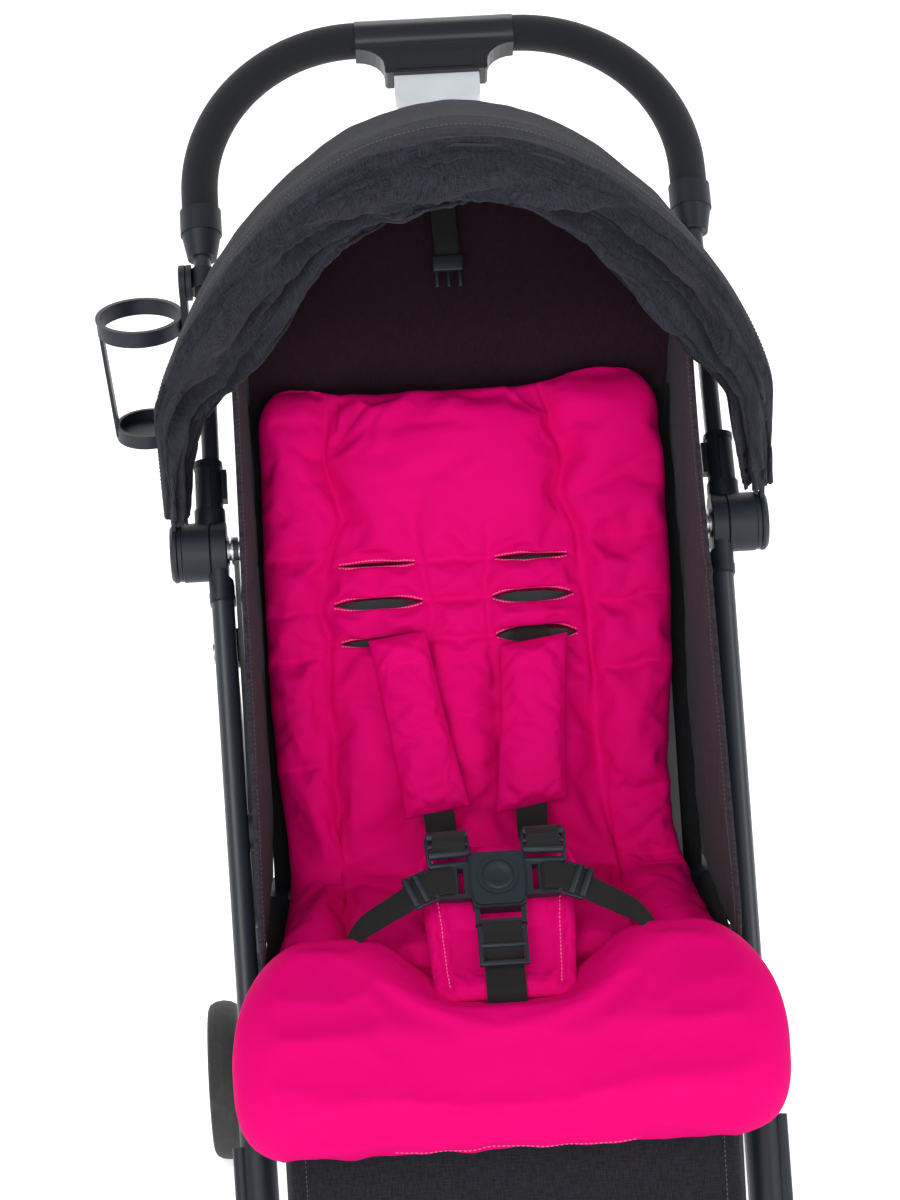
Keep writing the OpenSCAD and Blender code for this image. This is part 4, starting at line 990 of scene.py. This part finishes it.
def melange(name, dark, light, sheen=0.06):
    cloth = Finish(name)
    way = cloth.add("ShaderNodeUVMap", {"uv_map": "cloth"})
    slubs = cloth.grain(1.0, 4.0, 0.7, at=cloth.stretch((1150, 105, 1), way))
    picks = cloth.grain(1.0, 4.0, 0.7, at=cloth.stretch((105, 1150, 1), way))
    across = cloth.add("ShaderNodeSeparateXYZ", None, {0: way})
    along = cloth.add("ShaderNodeSeparateXYZ", None, {0: way}, output=1)
    weave = (across * 7800).wave() * (along * 7800).wave()
    heather = (slubs * 0.55 + picks * 0.45 - 0.40) * 4.6
    cloth.set(
        Base_Color=cloth.between(heather.peak(0.0), (*dark, 1), (*light, 1)),
        Roughness=0.78 + slubs * 0.12,
        Normal=cloth.bump(weave * 0.6 + slubs + picks, 0.5, 0.0004),
        Specular_IOR_Level=0.2,
        Sheen_Weight=sheen,
        Sheen_Roughness=0.5,
    )
    return cloth


shell_cloth = melange("grey melange polyester", (0.0026, 0.0028, 0.0050), (0.032, 0.0335, 0.050))
# Grey melange of the side walls, with a purple tint that is painted pink light bounced from the liner.
wall_cloth_painted_bounce = melange("grey melange with painted pink bounce", (0.0060, 0.0046, 0.0080), (0.052, 0.038, 0.056))
lining = melange("aubergine lining", (0.0052, 0.0006, 0.0032), (0.024, 0.0036, 0.0135))
# The calf rest's grey melange, darkened as painted shade from the front roll above it.
calf_cloth_painted_shade = melange("grey melange with painted shade", (0.0016, 0.0016, 0.0026), (0.020, 0.0205, 0.029))
# Black backing cloth, made darker so that it stands as painted shade where it shows through the harness slots
# and in the gaps beside the walls.
black_backing_and_painted_shade = melange("black seat backing and painted shade", (0.0022, 0.0020, 0.003), (0.0095, 0.0088, 0.0115))

grey_thread = Finish("grey sewing thread")
grey_thread.set(
    Base_Color=grey_thread.between(grey_thread.grain(700), (0.05, 0.052, 0.065, 1), (0.11, 0.112, 0.13, 1)),
    Roughness=0.6,
)
pink_thread = Finish("light pink sewing thread")
pink_thread.set(
    Base_Color=pink_thread.between(pink_thread.grain(700), (0.85, 0.09, 0.3, 1), (0.95, 0.2, 0.42, 1)),
    Roughness=0.55,
)


def sheet_grid(name, points, thick, outside, inside, facing, uv=None):
    """A thin sewn sheet over a grid of points, with the second cloth behind the first.

    Its outside looks the way of facing at the middle of the grid.
    """
    rows, cols = points.shape[:2]
    at = np.arange(rows * cols).reshape(rows, cols)
    quads = np.stack([at[:-1, :-1], at[:-1, 1:], at[1:, 1:], at[1:, :-1]], -1).reshape(-1, 4)
    middle = points[rows // 2, cols // 2]
    out = np.cross(points[rows // 2, cols // 2 + 1] - middle, points[rows // 2 + 1, cols // 2] - middle)
    if out @ np.array(facing) < 0:
        quads = quads[:, ::-1]
    mesh = bpy.data.meshes.new(name)
    mesh.from_pydata(points.reshape(-1, 3), [], quads.tolist())
    if uv is None:
        down_run = np.cumsum(np.linalg.norm(np.diff(points, axis=0, prepend=points[:1]), axis=2), 0)
        side_run = np.cumsum(np.linalg.norm(np.diff(points, axis=1, prepend=points[:, :1]), axis=2), 1)
        uv = np.stack([side_run - side_run.mean(1, keepdims=True), down_run], -1)
    lay_out(mesh, uv.reshape(-1, 2))
    piece = put_in_scene(name, mesh)
    mesh.materials.append(outside.material)
    mesh.materials.append(inside.material)
    layers = piece.modifiers.new("layers", "SOLIDIFY")
    layers.thickness = thick
    layers.offset = -1
    layers.material_offset = 1
    pick(piece)
    bpy.ops.object.modifier_apply(modifier="layers")
    piece.data.shade_smooth()
    return piece


def sew(name, lines, finish, pitch=0.0036, length=0.0025, radius=0.0004):
    """One mesh of separate thread stitches along each line of (points, outward directions)."""
    vertices, faces = [], []
    for path, out in lines:
        path, out = np.array(path, float), np.array(out, float)
        run = run_along(path)
        for start in np.arange(pitch / 2, run[-1] - pitch, pitch):
            ends = np.stack(
                [[np.interp(start + k * length, run, path[:, c]) for c in range(3)] for k in (0, 1)]
            )
            up = np.array([np.interp(start, run, out[:, c]) for c in range(3)])
            up /= np.linalg.norm(up)
            ahead = ends[1] - ends[0]
            ahead /= np.linalg.norm(ahead)
            sideways = np.cross(ahead, up)
            first = len(vertices)
            for k, bury in ((0, 1), (0.3, 0), (0.7, 0), (1, 1)):
                centre = ends[0] + (ends[1] - ends[0]) * k + up * radius * (0.6 - 1.4 * bury)
                for turn in range(6):
                    angle = turn * math.pi / 3
                    vertices.append(centre + radius * (sideways * math.cos(angle) + up * math.sin(angle)))
            for k in range(3):
                for turn in range(6):
                    low, high = first + 6 * k, first + 6 * k + 6
                    faces.append([low + turn, low + (turn + 1) % 6, high + (turn + 1) % 6, high + turn])
            faces.append([first + turn for turn in range(5, -1, -1)])
            faces.append([first + 18 + turn for turn in range(6)])
    mesh = bpy.data.meshes.new(name)
    mesh.from_pydata(vertices, [], faces)
    mesh.materials.append(finish.material)
    stitches = put_in_scene(name, mesh)
    face_outwards(stitches)
    mesh.shade_smooth()
    return stitches


# ---------------------------------------------------------------- folding hood
# Melange canopy over three bows, lined in aubergine. Its front edge is a sewn channel round
# the front bow, and a slack sun visor hangs from it, rolled under in long folds with a black
# binding. The canopy is left fixed in place, its rear sewn to the chassis; the visor, its
# binding and its stitches turn with the front bow.
hood_low, hood_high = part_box("hood_front")
hood_axis = Vector(joints["hood_open"]["pos_m"])
arch_half = (hood_high.x - hood_low.x) / 2
arch_top = hood_high.z - hood_axis.z
arch_low = 0.125
arch_turns = np.linspace(0, math.pi, 181)
arch_line = np.concatenate(
    [
        [[arch_half, r] for r in (0.034, 0.055, 0.08, 0.105)],
        np.stack(
            [arch_half * np.cos(arch_turns), arch_low + (arch_top - arch_low) * np.sin(arch_turns) ** 1.5],
            -1,
        ),
        [[-arch_half, r] for r in (0.105, 0.08, 0.055, 0.034)],
    ]
)[::-1]
arch_step = run_along(arch_line)
arch_count = 241
arch_run = np.linspace(0, arch_step[-1], arch_count)
arch_even = np.stack([np.interp(arch_run, arch_step, arch_line[:, k]) for k in (0, 1)], -1)
corner_soft = np.ones(5) / 5
padded_line = np.pad(arch_even, ((2, 2), (0, 0)), mode="reflect", reflect_type="odd")
arch_even = np.stack([np.convolve(padded_line[:, k], corner_soft, "valid") for k in (0, 1)], -1)
arch_ahead = heading(arch_even)
arch_inward = np.stack([arch_ahead[:, 1], -arch_ahead[:, 0]], -1)
arch_mid = arch_run / arch_step[-1]


def on_hood(angle, inward, forward=0.0):
    """Points round the whole arch at an angle about the hinge, moved inwards and forwards."""
    angle, inward, forward = [
        np.broadcast_to(np.asarray(v, float), (arch_count,)) for v in (angle, inward, forward)
    ]
    across = arch_even[:, 0] + arch_inward[:, 0] * inward
    radius = arch_even[:, 1] + arch_inward[:, 1] * inward
    turn = np.radians(angle)
    return np.stack([
        across + mid_x,
        hood_axis.y + radius * np.cos(turn) - forward * np.sin(turn),
        hood_axis.z + radius * np.sin(turn) + forward * np.cos(turn),
    ], -1)


def folds(along, across, seed):
    """Long soft ridges: they run far along the first direction and repeat across the second."""
    along, across = np.broadcast_arrays(along, across)
    return np.array([
        field.noise(Vector((a, b, seed))) + 0.5 * field.noise(Vector((2.1 * a, 2.3 * b, seed + 7)))
        for a, b in zip(along.ravel(), across.ravel())
    ]).reshape(along.shape)


rear_angle, bow_rear, bow_front = 63.0, 96.5, 104.0
canopy_rows = np.linspace(rear_angle, bow_rear + 1.5, 44)
canopy = []
for angle in canopy_rows:
    sag = 0.0045 * abs(math.sin(math.pi * (angle - rear_angle) / 17.2)) ** 1.5
    ripple = 0.0016 * folds(arch_run * 26, np.full(arch_count, angle * 0.06), 3.0)
    tuck = 0.0026 * min(1.0, max(0.0, (angle - bow_rear + 2.5) / 2.5))
    canopy.append(on_hood(angle, 0.0012 + tuck + sag * np.sin(np.pi * arch_mid) ** 0.3 + ripple))
canopy_grid = np.array(canopy)
canopy = sheet_grid("hood_canopy", canopy_grid, 0.0014, shell_cloth, lining, (0, 0.2, 1))
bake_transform(canopy)
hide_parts("hood_mid", "hood_front")

visor_line = smooth_line(
    [
        (-1.0, 0.0), (-0.66, -0.0016), (-0.33, -0.002), (-0.08, -0.0016), (0.035, -0.0006), (0.062, 0.003),
        (0.03, 0.0065), (0.10, 0.0095), (0.27, 0.014), (0.36, 0.022), (0.31, 0.031), (0.17, 0.037),
        (-0.02, 0.039), (-0.16, 0.0405), (-0.12, 0.0455), (0.03, 0.049), (0.0, 0.0545), (-0.16, 0.0575),
        (-0.30, 0.0605), (-0.42, 0.0605),
    ],
    84,
)
hang = np.interp(arch_mid, [0, 0.05, 0.11, 0.17, 0.24, 0.34, 0.5, 0.66, 0.76, 0.83, 0.89, 0.95, 1],
                 [0.30, 0.42, 0.66, 0.95, 1.0, 0.92, 0.98, 0.92, 1.0, 0.95, 0.66, 0.42, 0.30])
reach = np.interp(
    arch_mid, [0, 0.08, 0.2, 0.5, 0.8, 0.92, 1], [0.012, 0.016, 0.026, 0.045, 0.026, 0.016, 0.012],
)
visor = []
for step, (forward, inward) in enumerate(visor_line):
    place = step / (len(visor_line) - 1)
    loose = float(
        np.interp(
            place, [0, 0.3, 0.37, 0.45, 0.6, 0.9, 1.0],
            [0.0005, 0.0007, 0.003, 0.010, 0.0155, 0.010, 0.002],
        )
    )
    slant = place * 7.0 + 5.0 * np.abs(arch_mid - 0.5)
    ridges = folds(arch_run * 6.0 + place * 1.4, slant, 11.0)
    sharp = 0.55 - 2.2 * np.abs(folds(arch_run * 5.0, slant * 1.35, 47.0))
    cross_ridges = folds(arch_run * 30, np.full(arch_count, place * 3.0), 5.0)
    push = loose * (1.1 * ridges + 0.6 * sharp + 0.3 * cross_ridges)
    droop = (
        0.006 * float(np.clip((place - 0.4) / 0.3, 0, 1))
        * folds(arch_run * 4.2, np.full(arch_count, 0.3), 21.0)
    )
    grown = np.where(forward < 0, reach, 0.6 * reach + 0.016)
    visor.append(
        on_hood(
            bow_front, inward * (hang if inward > 0.004 else 1) + push * 0.6 + droop,
            forward * grown + push,
        )
    )
visor = np.array(visor)
middle_row, middle_col = len(visor) // 2, arch_count // 2
visor_out = (
    np.array([0, -1, 0.2]) if visor[middle_row, middle_col, 1] < hood_axis.y - 0.09
    else np.array([0, 0, -1])
)
binding_rows = 7
hood_visor = sheet_grid("hood_visor", visor, 0.0013, shell_cloth, shell_cloth, visor_out)
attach(hood_visor, "hood")
tape = np.array([visor[-binding_rows + k] for k in range(binding_rows)])
hood_binding = sheet_grid(
    "hood_binding", tape + np.array([0, -0.0011, -0.0006]), 0.0026, webbing, webbing, (0, -1, 0),
)
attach(hood_binding, "hood")

outward = np.stack([
    -arch_inward[:, 0],
    -arch_inward[:, 1] * math.cos(math.radians(100)),
    -arch_inward[:, 1] * math.sin(math.radians(100)),
], -1)
band_lines = [canopy_grid[39], visor[int(np.argmin(abs(visor_line[:30, 0] + 0.5)))]]
hood_stitches = sew("hood_stitches", [(line[6:-6], outward[6:-6]) for line in band_lines], grey_thread)
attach(hood_stitches, "hood")

# Rear of the hood: one lining panel from the rear bow down behind the top of the backrest,
# with the strap and clip half that hold the rolled visor.
panel_slope = math.radians(62.2)
panel_cols = 81
panel_across = np.linspace(-1, 1, panel_cols)
panel_half = arch_half - 0.0105
panel_rows = []
for v in np.linspace(0, 1, 44):
    radius = 0.150 + (arch_top - 0.0085 - 0.150) * max(0.0, (v - 0.14) / 0.86)
    rise = np.clip((radius - arch_low) / (arch_top - 0.0085 - arch_low), 0, 1) ** (1 / 1.5)
    wide = panel_half * math.sqrt(max(0.0, 1 - rise * rise))
    wide = min(wide, 0.1775 + max(0.0, radius - 0.192) * 3.0)
    y = hood_axis.y + radius * math.cos(panel_slope)
    z = hood_axis.z + radius * math.sin(panel_slope)
    if v < 0.3:
        low_point = up_the_back(0, 0.400, -0.011)
        part = v / 0.3
        part = part * part * (3 - 2 * part)
        y, z = low_point[1] * (1 - part) + y * part, low_point[2] * (1 - part) + z * part
    x = panel_across * wide
    billow = 0.007 * math.sin(math.pi * v) ** 0.8 * np.cos(np.pi / 2 * panel_across) ** 0.7
    wrinkle = 0.0028 * folds(x * 9, np.full(panel_cols, v * 2.2), 31.0)
    panel_rows.append(np.stack([x + mid_x, y + billow + wrinkle, np.full(panel_cols, z)], -1))
hood_panel = sheet_grid(
    "hood_rear_panel", np.array(panel_rows)[::-1], 0.0014, lining, shell_cloth, (0, -1, 0),
)
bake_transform(hood_panel)
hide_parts("hood_back_panel")


def on_panel(x, radius, lift):
    """A point on the rear panel at a radius from the hinge axis, lifted off it towards the front."""
    return np.array([
        mid_x + x,
        hood_axis.y + radius * math.cos(panel_slope) - lift * math.sin(panel_slope),
        hood_axis.z + radius * math.sin(panel_slope) + lift * math.cos(panel_slope),
    ])


clip_x = -0.005
clip_strap = ribbon(
    "visor_strap",
    [
        on_panel(clip_x - 0.001, 0.318, 0.004), on_panel(clip_x, 0.300, 0.0075),
        on_panel(clip_x, 0.270, 0.006), on_panel(clip_x + 0.001, 0.246, 0.007),
        on_panel(clip_x + 0.001, 0.232, 0.006),
    ],
    [right_way] * 5, wide=0.020, thick=0.0016, count=30,
)
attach(clip_strap, "chassis")


def hard_block(name, size, at, bevel, finish, lean=0.0):
    """A moulded block with rounded edges, made from a cube, scaled, leant back, moved and bevelled."""
    pick()
    bpy.ops.mesh.primitive_cube_add(size=1, location=at, rotation=(-lean, 0, 0))
    block = bpy.context.object
    block.name = name
    block.scale = size
    bpy.ops.object.transform_apply(location=True, rotation=True, scale=True)
    rounding = block.modifiers.new("rounding", "BEVEL")
    rounding.width = bevel
    rounding.segments = 3
    bpy.ops.object.modifier_apply(modifier="rounding")
    bpy.ops.object.shade_smooth_by_angle(angle=math.radians(40))
    block.data.materials.append(finish.material)
    return block


clip_lean = math.pi / 2 - panel_slope
clip_body = hard_block(
    "visor_clip_body", (0.025, 0.0065, 0.013), on_panel(clip_x + 0.001, 0.2275, 0.0065), 0.0012,
    black_nylon, clip_lean,
)
clip_prongs = [
    hard_block(
        f"visor_clip_prong_{k}", (w, 0.0045, 0.015), on_panel(clip_x + 0.001 + dx, 0.215, 0.0065), 0.001,
        black_nylon, clip_lean,
    )
    for k, (dx, w) in enumerate(((-0.0095, 0.0036), (0, 0.003), (0.0095, 0.0036)))
]
for piece in (clip_body, *clip_prongs):
    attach(piece, "chassis")

# ---------------------------------------------------------------- seat bucket
# Grey melange walls close the sides from the front of the seat to the hood; their purple tint
# is painted pink light bounced from the liner. They are hemmed along their free edge. Black
# backing cloth wraps the seat board and the backrest; its raised black edges fill the gaps
# beside the walls as painted shade.
wall_rows, wall_cols = 90, 46
front_edge = smooth_line(
    [
        (-0.2025, 0.398), (-0.2035, 0.424), (-0.198, 0.445), (-0.136, 0.539), (-0.070, 0.640),
        (-0.028, 0.697), (0.010, 0.752), (0.034, 0.797), (0.054, 0.846),
    ],
    wall_rows,
)
rear_edge = smooth_line(
    [
        (-0.060, 0.404), (-0.022, 0.410), (0.004, 0.452), (0.028, 0.506), (0.052, 0.560), (0.085, 0.638),
        (0.118, 0.715), (0.149, 0.788), (0.124, 0.849),
    ],
    wall_rows,
)
wall_in = abs(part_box("side_panel_left")[0].x - mid_x)
for name, way in (("side_wall_right", -1), ("side_wall_left", 1)):
    u = np.linspace(0, 1, wall_cols) ** 1.35
    inner = np.zeros((wall_rows, wall_cols, 3))
    yz = front_edge[:, None] * (1 - u[None, :, None]) + rear_edge[:, None] * u[None, :, None]
    inner[..., 1:] = yz
    gap_to_front = u[None] * np.linalg.norm(rear_edge - front_edge, axis=1)[:, None]
    up = np.linspace(0, 1, wall_rows)[:, None]
    hug = (
        0.0085 * np.clip(1.25 * u, 0, 1)[None] ** 0.9
        * np.interp(up, [0, 0.06, 0.2, 0.88, 0.96, 1], [0.3, 0.65, 1, 1, 0.5, 0.1])
    )
    ripple = 0.0022 * folds(yz[..., 1] * 13, yz[..., 0] * 30, 40.0 + way) * np.clip(gap_to_front / 0.03, 0, 1)
    seam_dip = 0.0012 * np.exp(-(((yz[..., 1] - 0.655 + 0.1 * yz[..., 0]) / 0.003) ** 2))
    hem = np.where(gap_to_front < 0.011, 0.0011, 0.0)
    inner[..., 0] = mid_x + way * (wall_in + 0.0008 - hug - ripple + seam_dip - hem)
    outer = inner.copy()
    outer[..., 0] += way * (0.0013 + 2 * hem)
    order = slice(None) if way > 0 else slice(None, None, -1)
    wall = grid_solid(name, inner[:, order], outer[:, order], yz[:, order])[0]
    # The purple tint of this cloth is painted pink bounce light from the liner.
    wall.data.materials.append(wall_cloth_painted_bounce.material)
    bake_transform(wall)
    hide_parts("side_panel_left" if way > 0 else "side_panel_right")
    hem_col = int(np.argmin(abs(gap_to_front[wall_rows // 2] - 0.0085)))
    faces_in = np.tile([-way, 0, 0], (wall_rows, 1))
    lines = [(inner[3:-3, hem_col], faces_in[3:-3])]
    lines.append((inner[3:20, hem_col + 2], faces_in[3:20]))
    wall_stitches = sew(name + "_stitches", lines, grey_thread)
    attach(wall_stitches, "chassis")

# The edges of the black backing are raised into flanges that fill the gaps beside the walls: a dark sheet
# standing in as painted shade.
bucket_x = np.linspace(-1, 1, 61)
gap_shade_flange = np.clip((abs(bucket_x) - 0.9) / 0.1, 0, 1) ** 2
bucket = []
for s in np.linspace(-0.012, 0.404, 50):
    row = [up_the_back(x * 0.1728, s, -0.0085 + 0.017 * f) for x, f in zip(bucket_x, gap_shade_flange)]
    bucket.append(row)
back_cover = sheet_grid(
    "backrest_cover", np.array(bucket)[::-1], 0.0014, black_backing_and_painted_shade, shell_cloth, (0, -1, 0.3),
)
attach(back_cover, "backrest")

seat_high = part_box("seat_board")[1]
seat_rows = []
for y in np.linspace(-0.246, -0.020, 30):
    row = [(mid_x + x * 0.179, y, seat_high.z + 0.0012 + 0.014 * f) for x, f in zip(bucket_x, gap_shade_flange)]
    seat_rows.append(row)
seat_cover = sheet_grid("seat_cover", np.array(seat_rows), 0.0012, black_backing_and_painted_shade, shell_cloth, (0, 0, 1))
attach(seat_cover, "chassis")
wear(black_backing_and_painted_shade, ["seat_board"])

# ---------------------------------------------------------------- calf rest
# A flat melange pad over a stiffener, hung from the front tube. It has rounded lower corners
# and one row of stitching inside its edge. Its melange is darkened all over as painted shade
# from the front roll above it.
calf_pivot = Vector(joints["calf_tilt"]["pos_m"])
calf_lean = math.radians(72)
calf_low, calf_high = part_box("calf_rest")
calf_half = (calf_high.x - calf_low.x) / 2


def on_calf(x, down, out):
    """A point on the calf rest: x from the middle, down from its pivot, out from its middle plane."""
    x, down, out = np.broadcast_arrays(x, down, out)
    return np.stack([
        mid_x + x,
        calf_pivot.y - down * math.cos(calf_lean) - out * math.sin(calf_lean),
        calf_pivot.z - down * math.sin(calf_lean) + out * math.cos(calf_lean),
    ], -1)


calf_down = np.linspace(0.012, 0.206, 60)
round_in = np.clip((calf_down - 0.150) / 0.056, 0, 1)
top_in = np.clip((0.034 - calf_down) / 0.022, 0, 1) ** 2
calf_wide = calf_half * (1 - 0.17 * (1 - np.sqrt(1 - np.minimum(round_in, 0.999) ** 2)) - 0.06 * top_in)
calf_across = np.linspace(-1, 1, 70)
x = calf_wide[:, None] * calf_across[None]
inside = np.minimum(
    (1 - abs(calf_across))[None] * calf_wide[:, None],
    np.minimum(calf_down - 0.012, 0.206 - calf_down)[:, None],
)
puff = near_seam(inside, 0.012) * (1 - 0.28 * np.exp(-(((inside - 0.016) / 0.003) ** 2)))
lower_bow = 0.010 * (1 - (x / calf_half) ** 2) * (calf_down[:, None] / 0.206) ** 4
calf_front = on_calf(x, calf_down[:, None] + lower_bow - 0.004, 0.0088 * puff)
calf_rear = on_calf(x, calf_down[:, None] + lower_bow - 0.004, -0.0088 * puff)
calf_uv = np.stack([x, calf_down[:, None] * np.ones_like(x)], -1)
calf_pad = grid_solid("calf_rest_cover", calf_front[::-1], calf_rear[::-1], calf_uv[::-1])[0]
# Darker melange: painted shade from the front roll above the calf rest.
calf_pad.data.materials.append(calf_cloth_painted_shade.material)
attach(calf_pad, "calf")
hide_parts("calf_rest")
inner_row = int(np.argmin(abs(calf_down - 0.188)))
inner_cols = [int(np.argmin(abs(calf_across - c))) for c in (-0.9, 0.9)]
calf_out = np.array(on_calf(0, 0, 1)) - np.array(on_calf(0, 0, 0))
seam_line = np.concatenate([
    calf_front[6:inner_row, inner_cols[0]],
    calf_front[inner_row, inner_cols[0]:inner_cols[1]],
    calf_front[6:inner_row, inner_cols[1]][::-1],
])
calf_stitches = sew("calf_rest_stitches", [(seam_line, np.tile(calf_out, (len(seam_line), 1)))], grey_thread)
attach(calf_stitches, "calf")

# ---------------------------------------------------------------- basket
# A one piece bag of melange under the seat, bound with black tape round its open top and
# slung from four webbing hangers, so that its sides and floor sag.
basket_low, basket_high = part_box("basket")
basket_mid = (basket_low + basket_high) / 2
basket_half_x = (basket_high.x - basket_low.x) / 2 - 0.004
basket_half_y = (basket_high.y - basket_low.y) / 2 - 0.004
ring_count = 129
ring_turn = np.linspace(0, 2 * math.pi, ring_count)
square_up = (abs(np.cos(ring_turn)) ** 7 + abs(np.sin(ring_turn)) ** 7) ** (-1 / 7)
ring_x, ring_y = np.cos(ring_turn) * square_up, np.sin(ring_turn) * square_up
bag = []
side_rows, floor_rows = 20, 16
for k in range(side_rows):
    part = k / (side_rows - 1)
    belly = 0.007 * math.sin(math.pi * part) ** 1.3
    edge_dip = 0.010 * (1 - part) ** 2 * np.abs(np.cos(2 * ring_turn)) ** 1.5
    height = basket_high.z - 0.001 - edge_dip - part * (basket_high.z - basket_low.z - 0.012)
    crease = 0.0035 * folds(ring_turn * 5, np.full(ring_count, part * 2.0), 50.0) * math.sin(math.pi * part)
    crease[-1] = crease[0]
    bag.append(np.stack([
        mid_x + ring_x * (basket_half_x - 0.004 * part + belly + crease),
        basket_mid.y + ring_y * (basket_half_y - 0.018 * part + belly + crease),
        height,
    ], -1))
for k in range(1, floor_rows + 1):
    part = 1 - k / floor_rows
    softer = ring_x * part * (1 - 0.04 * (1 - part)), ring_y * part
    bag.append(np.stack([
        mid_x + softer[0] * (basket_half_x - 0.004),
        basket_mid.y + softer[1] * (basket_half_y - 0.018),
        np.full(ring_count, basket_low.z + 0.011 - 0.011 * (1 - part**4)),
    ], -1))
bag_round = ring_turn[None] * 0.16 * np.ones((len(bag), 1))
bag_down = np.linspace(0, 0.32, len(bag))[:, None] * np.ones((1, ring_count))
bag_uv = np.stack([bag_round, bag_down], -1)
basket_bag = sheet_grid("basket_bag", np.array(bag), 0.0014, shell_cloth, shell_cloth, (1, 0, 0), bag_uv)
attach(basket_bag, "chassis")
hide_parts("basket")
rim = np.array(bag[0])
rim_tape = sheet_grid(
    "basket_binding", np.array([rim + [0, 0, 0.0008], bag[1], bag[2]]), 0.003, webbing, webbing, (1, 0, 0),
)
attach(rim_tape, "chassis")
wear(webbing, ["basket_straps"])

# ---------------------------------------------------------------- stitches of the liner
# Light pink polyester thread shows on the lips of the harness slots, inside the long edges
# of the pad behind the buckle, and along the hem of the front roll.
liner_points = points_of(liner)
face_of_back = np.array(back_out, float)
lip_lines = []
for (row, first, last), (low_front, high_front, _, _) in zip(slits, lips):
    for lip, next_row in ((low_front, row - 1), (high_front, row + 1)):
        edge = liner_points[lip]
        beside = liner_points[front_at[next_row, first:last + 1]]
        lip_lines.append((edge * 0.62 + beside * 0.38, np.tile(face_of_back, (len(lip), 1))))
lip_stitches = sew("slot_stitches", lip_lines, pink_thread, 0.0026, 0.0021, 0.00055)
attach(lip_stitches, "backrest")

pad_points = points_of(crotch_pad)
pad_face = np.stack([np.zeros(pad_rows), -pad_ahead[:, 1], pad_ahead[:, 0]], -1)
pad_lines = [(pad_points[pad_front_at[4:-4, col]], pad_face[4:-4]) for col in (5, 40)]
pad_stitches = sew("crotch_pad_stitches", pad_lines, pink_thread, 0.0034, 0.0025, 0.00042)
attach(pad_stitches, "chassis")

roll_points = points_of(roll)
hem_row = roll_rows - 5
hem_line = roll_points[roll_front_at[hem_row, 30:-30]]
hem_stitches = sew(
    "roll_hem_stitches", [(hem_line, np.tile([0, -0.94, -0.34], (len(hem_line), 1)))], pink_thread, 0.0036,
    0.0026, 0.00042,
)
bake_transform(hem_stitches)

# ---------------------------------------------------------------- studio
# A plain pale floor that curves up behind, one soft sky, four softboxes and the camera, which
# looks down a little from in front.
bpy.ops.object.select_all(action="DESELECT")
sweep_line = [(-30.0, -0.0005), (3.0, -0.0005)]
sweep_line += [(3.0 + 1.6 * math.sin(a), 1.6 - 1.6 * math.cos(a)) for a in np.linspace(0.1, math.pi / 2, 14)]
sweep_line += [(4.6, 7.0)]
floor_mesh = bpy.data.meshes.new("studio_floor")
floor_mesh.from_pydata(
    [(x, y, z) for x in (-30, 30) for y, z in sweep_line], [],
    [[k, k + 1, k + 1 + len(sweep_line), k + len(sweep_line)][::-1] for k in range(len(sweep_line) - 1)],
)
floor_mesh.shade_smooth()
floor = put_in_scene("studio_floor", floor_mesh)
pale = Finish("pale studio floor")
mottle = pale.grain(3, 3.0)
pale.set(
    Base_Color=pale.between(mottle, (0.90, 0.90, 0.905, 1), (0.94, 0.94, 0.945, 1)),
    Roughness=0.75 + mottle * 0.1,
    Specular_IOR_Level=0.2,
    Emission_Color=(1, 1, 1, 1),
    Emission_Strength=0.6,
)
floor.data.materials.append(pale.material)

sky = bpy.data.worlds.new("studio sky")
sky.use_nodes = True
sky.node_tree.nodes["Background"].inputs["Color"].default_value = (0.98, 0.99, 1, 1)
sky.node_tree.nodes["Background"].inputs["Strength"].default_value = 0.45
bpy.context.scene.world = sky


def softbox(name, place, aim, size, power):
    lamp = bpy.data.lights.new(name, "AREA")
    lamp.shape = "RECTANGLE"
    lamp.size, lamp.size_y = size
    lamp.energy = power
    holder = put_in_scene(name, lamp)
    holder.location = place
    holder.rotation_euler = (Vector(aim) - Vector(place)).to_track_quat("-Z", "Y").to_euler()


softbox("key_softbox", (-1.5, -1.9, 2.5), (0, 0, 0.6), (1.5, 1.2), 25)
softbox("front_softbox", (-0.2, -3.0, 1.2), (0, 0, 0.6), (2.0, 1.4), 31)
softbox("fill_softbox", (2.1, -1.3, 1.5), (0, 0, 0.6), (1.2, 1.6), 17)
softbox("top_softbox", (0.3, 1.3, 2.7), (0, 0, 0.7), (1.6, 1.0), 11)

aim_point = Vector((mid_x - 0.020, 0, 0.628))
azimuth, elevation, tilt = math.radians(-1.99), math.radians(19.4), math.radians(-2.65)
away = Vector((
    math.sin(azimuth) * math.cos(elevation),
    -math.cos(azimuth) * math.cos(elevation),
    math.sin(elevation),
))
level = (-away).cross(Vector((0, 0, 1))).normalized()
upright = level.cross(-away)
right = level * math.cos(tilt) + upright * math.sin(tilt)
up = upright * math.cos(tilt) - level * math.sin(tilt)
lens = bpy.data.cameras.new("camera")
lens.lens = 90
lens.sensor_width = 36
camera = put_in_scene("camera", lens)
camera.matrix_world = Matrix.Translation(
    aim_point + away * 2.4
) @ Matrix((right, up, away)).transposed().to_4x4()
bpy.context.scene.camera = camera
bpy.context.scene.view_settings.view_transform = "Standard"
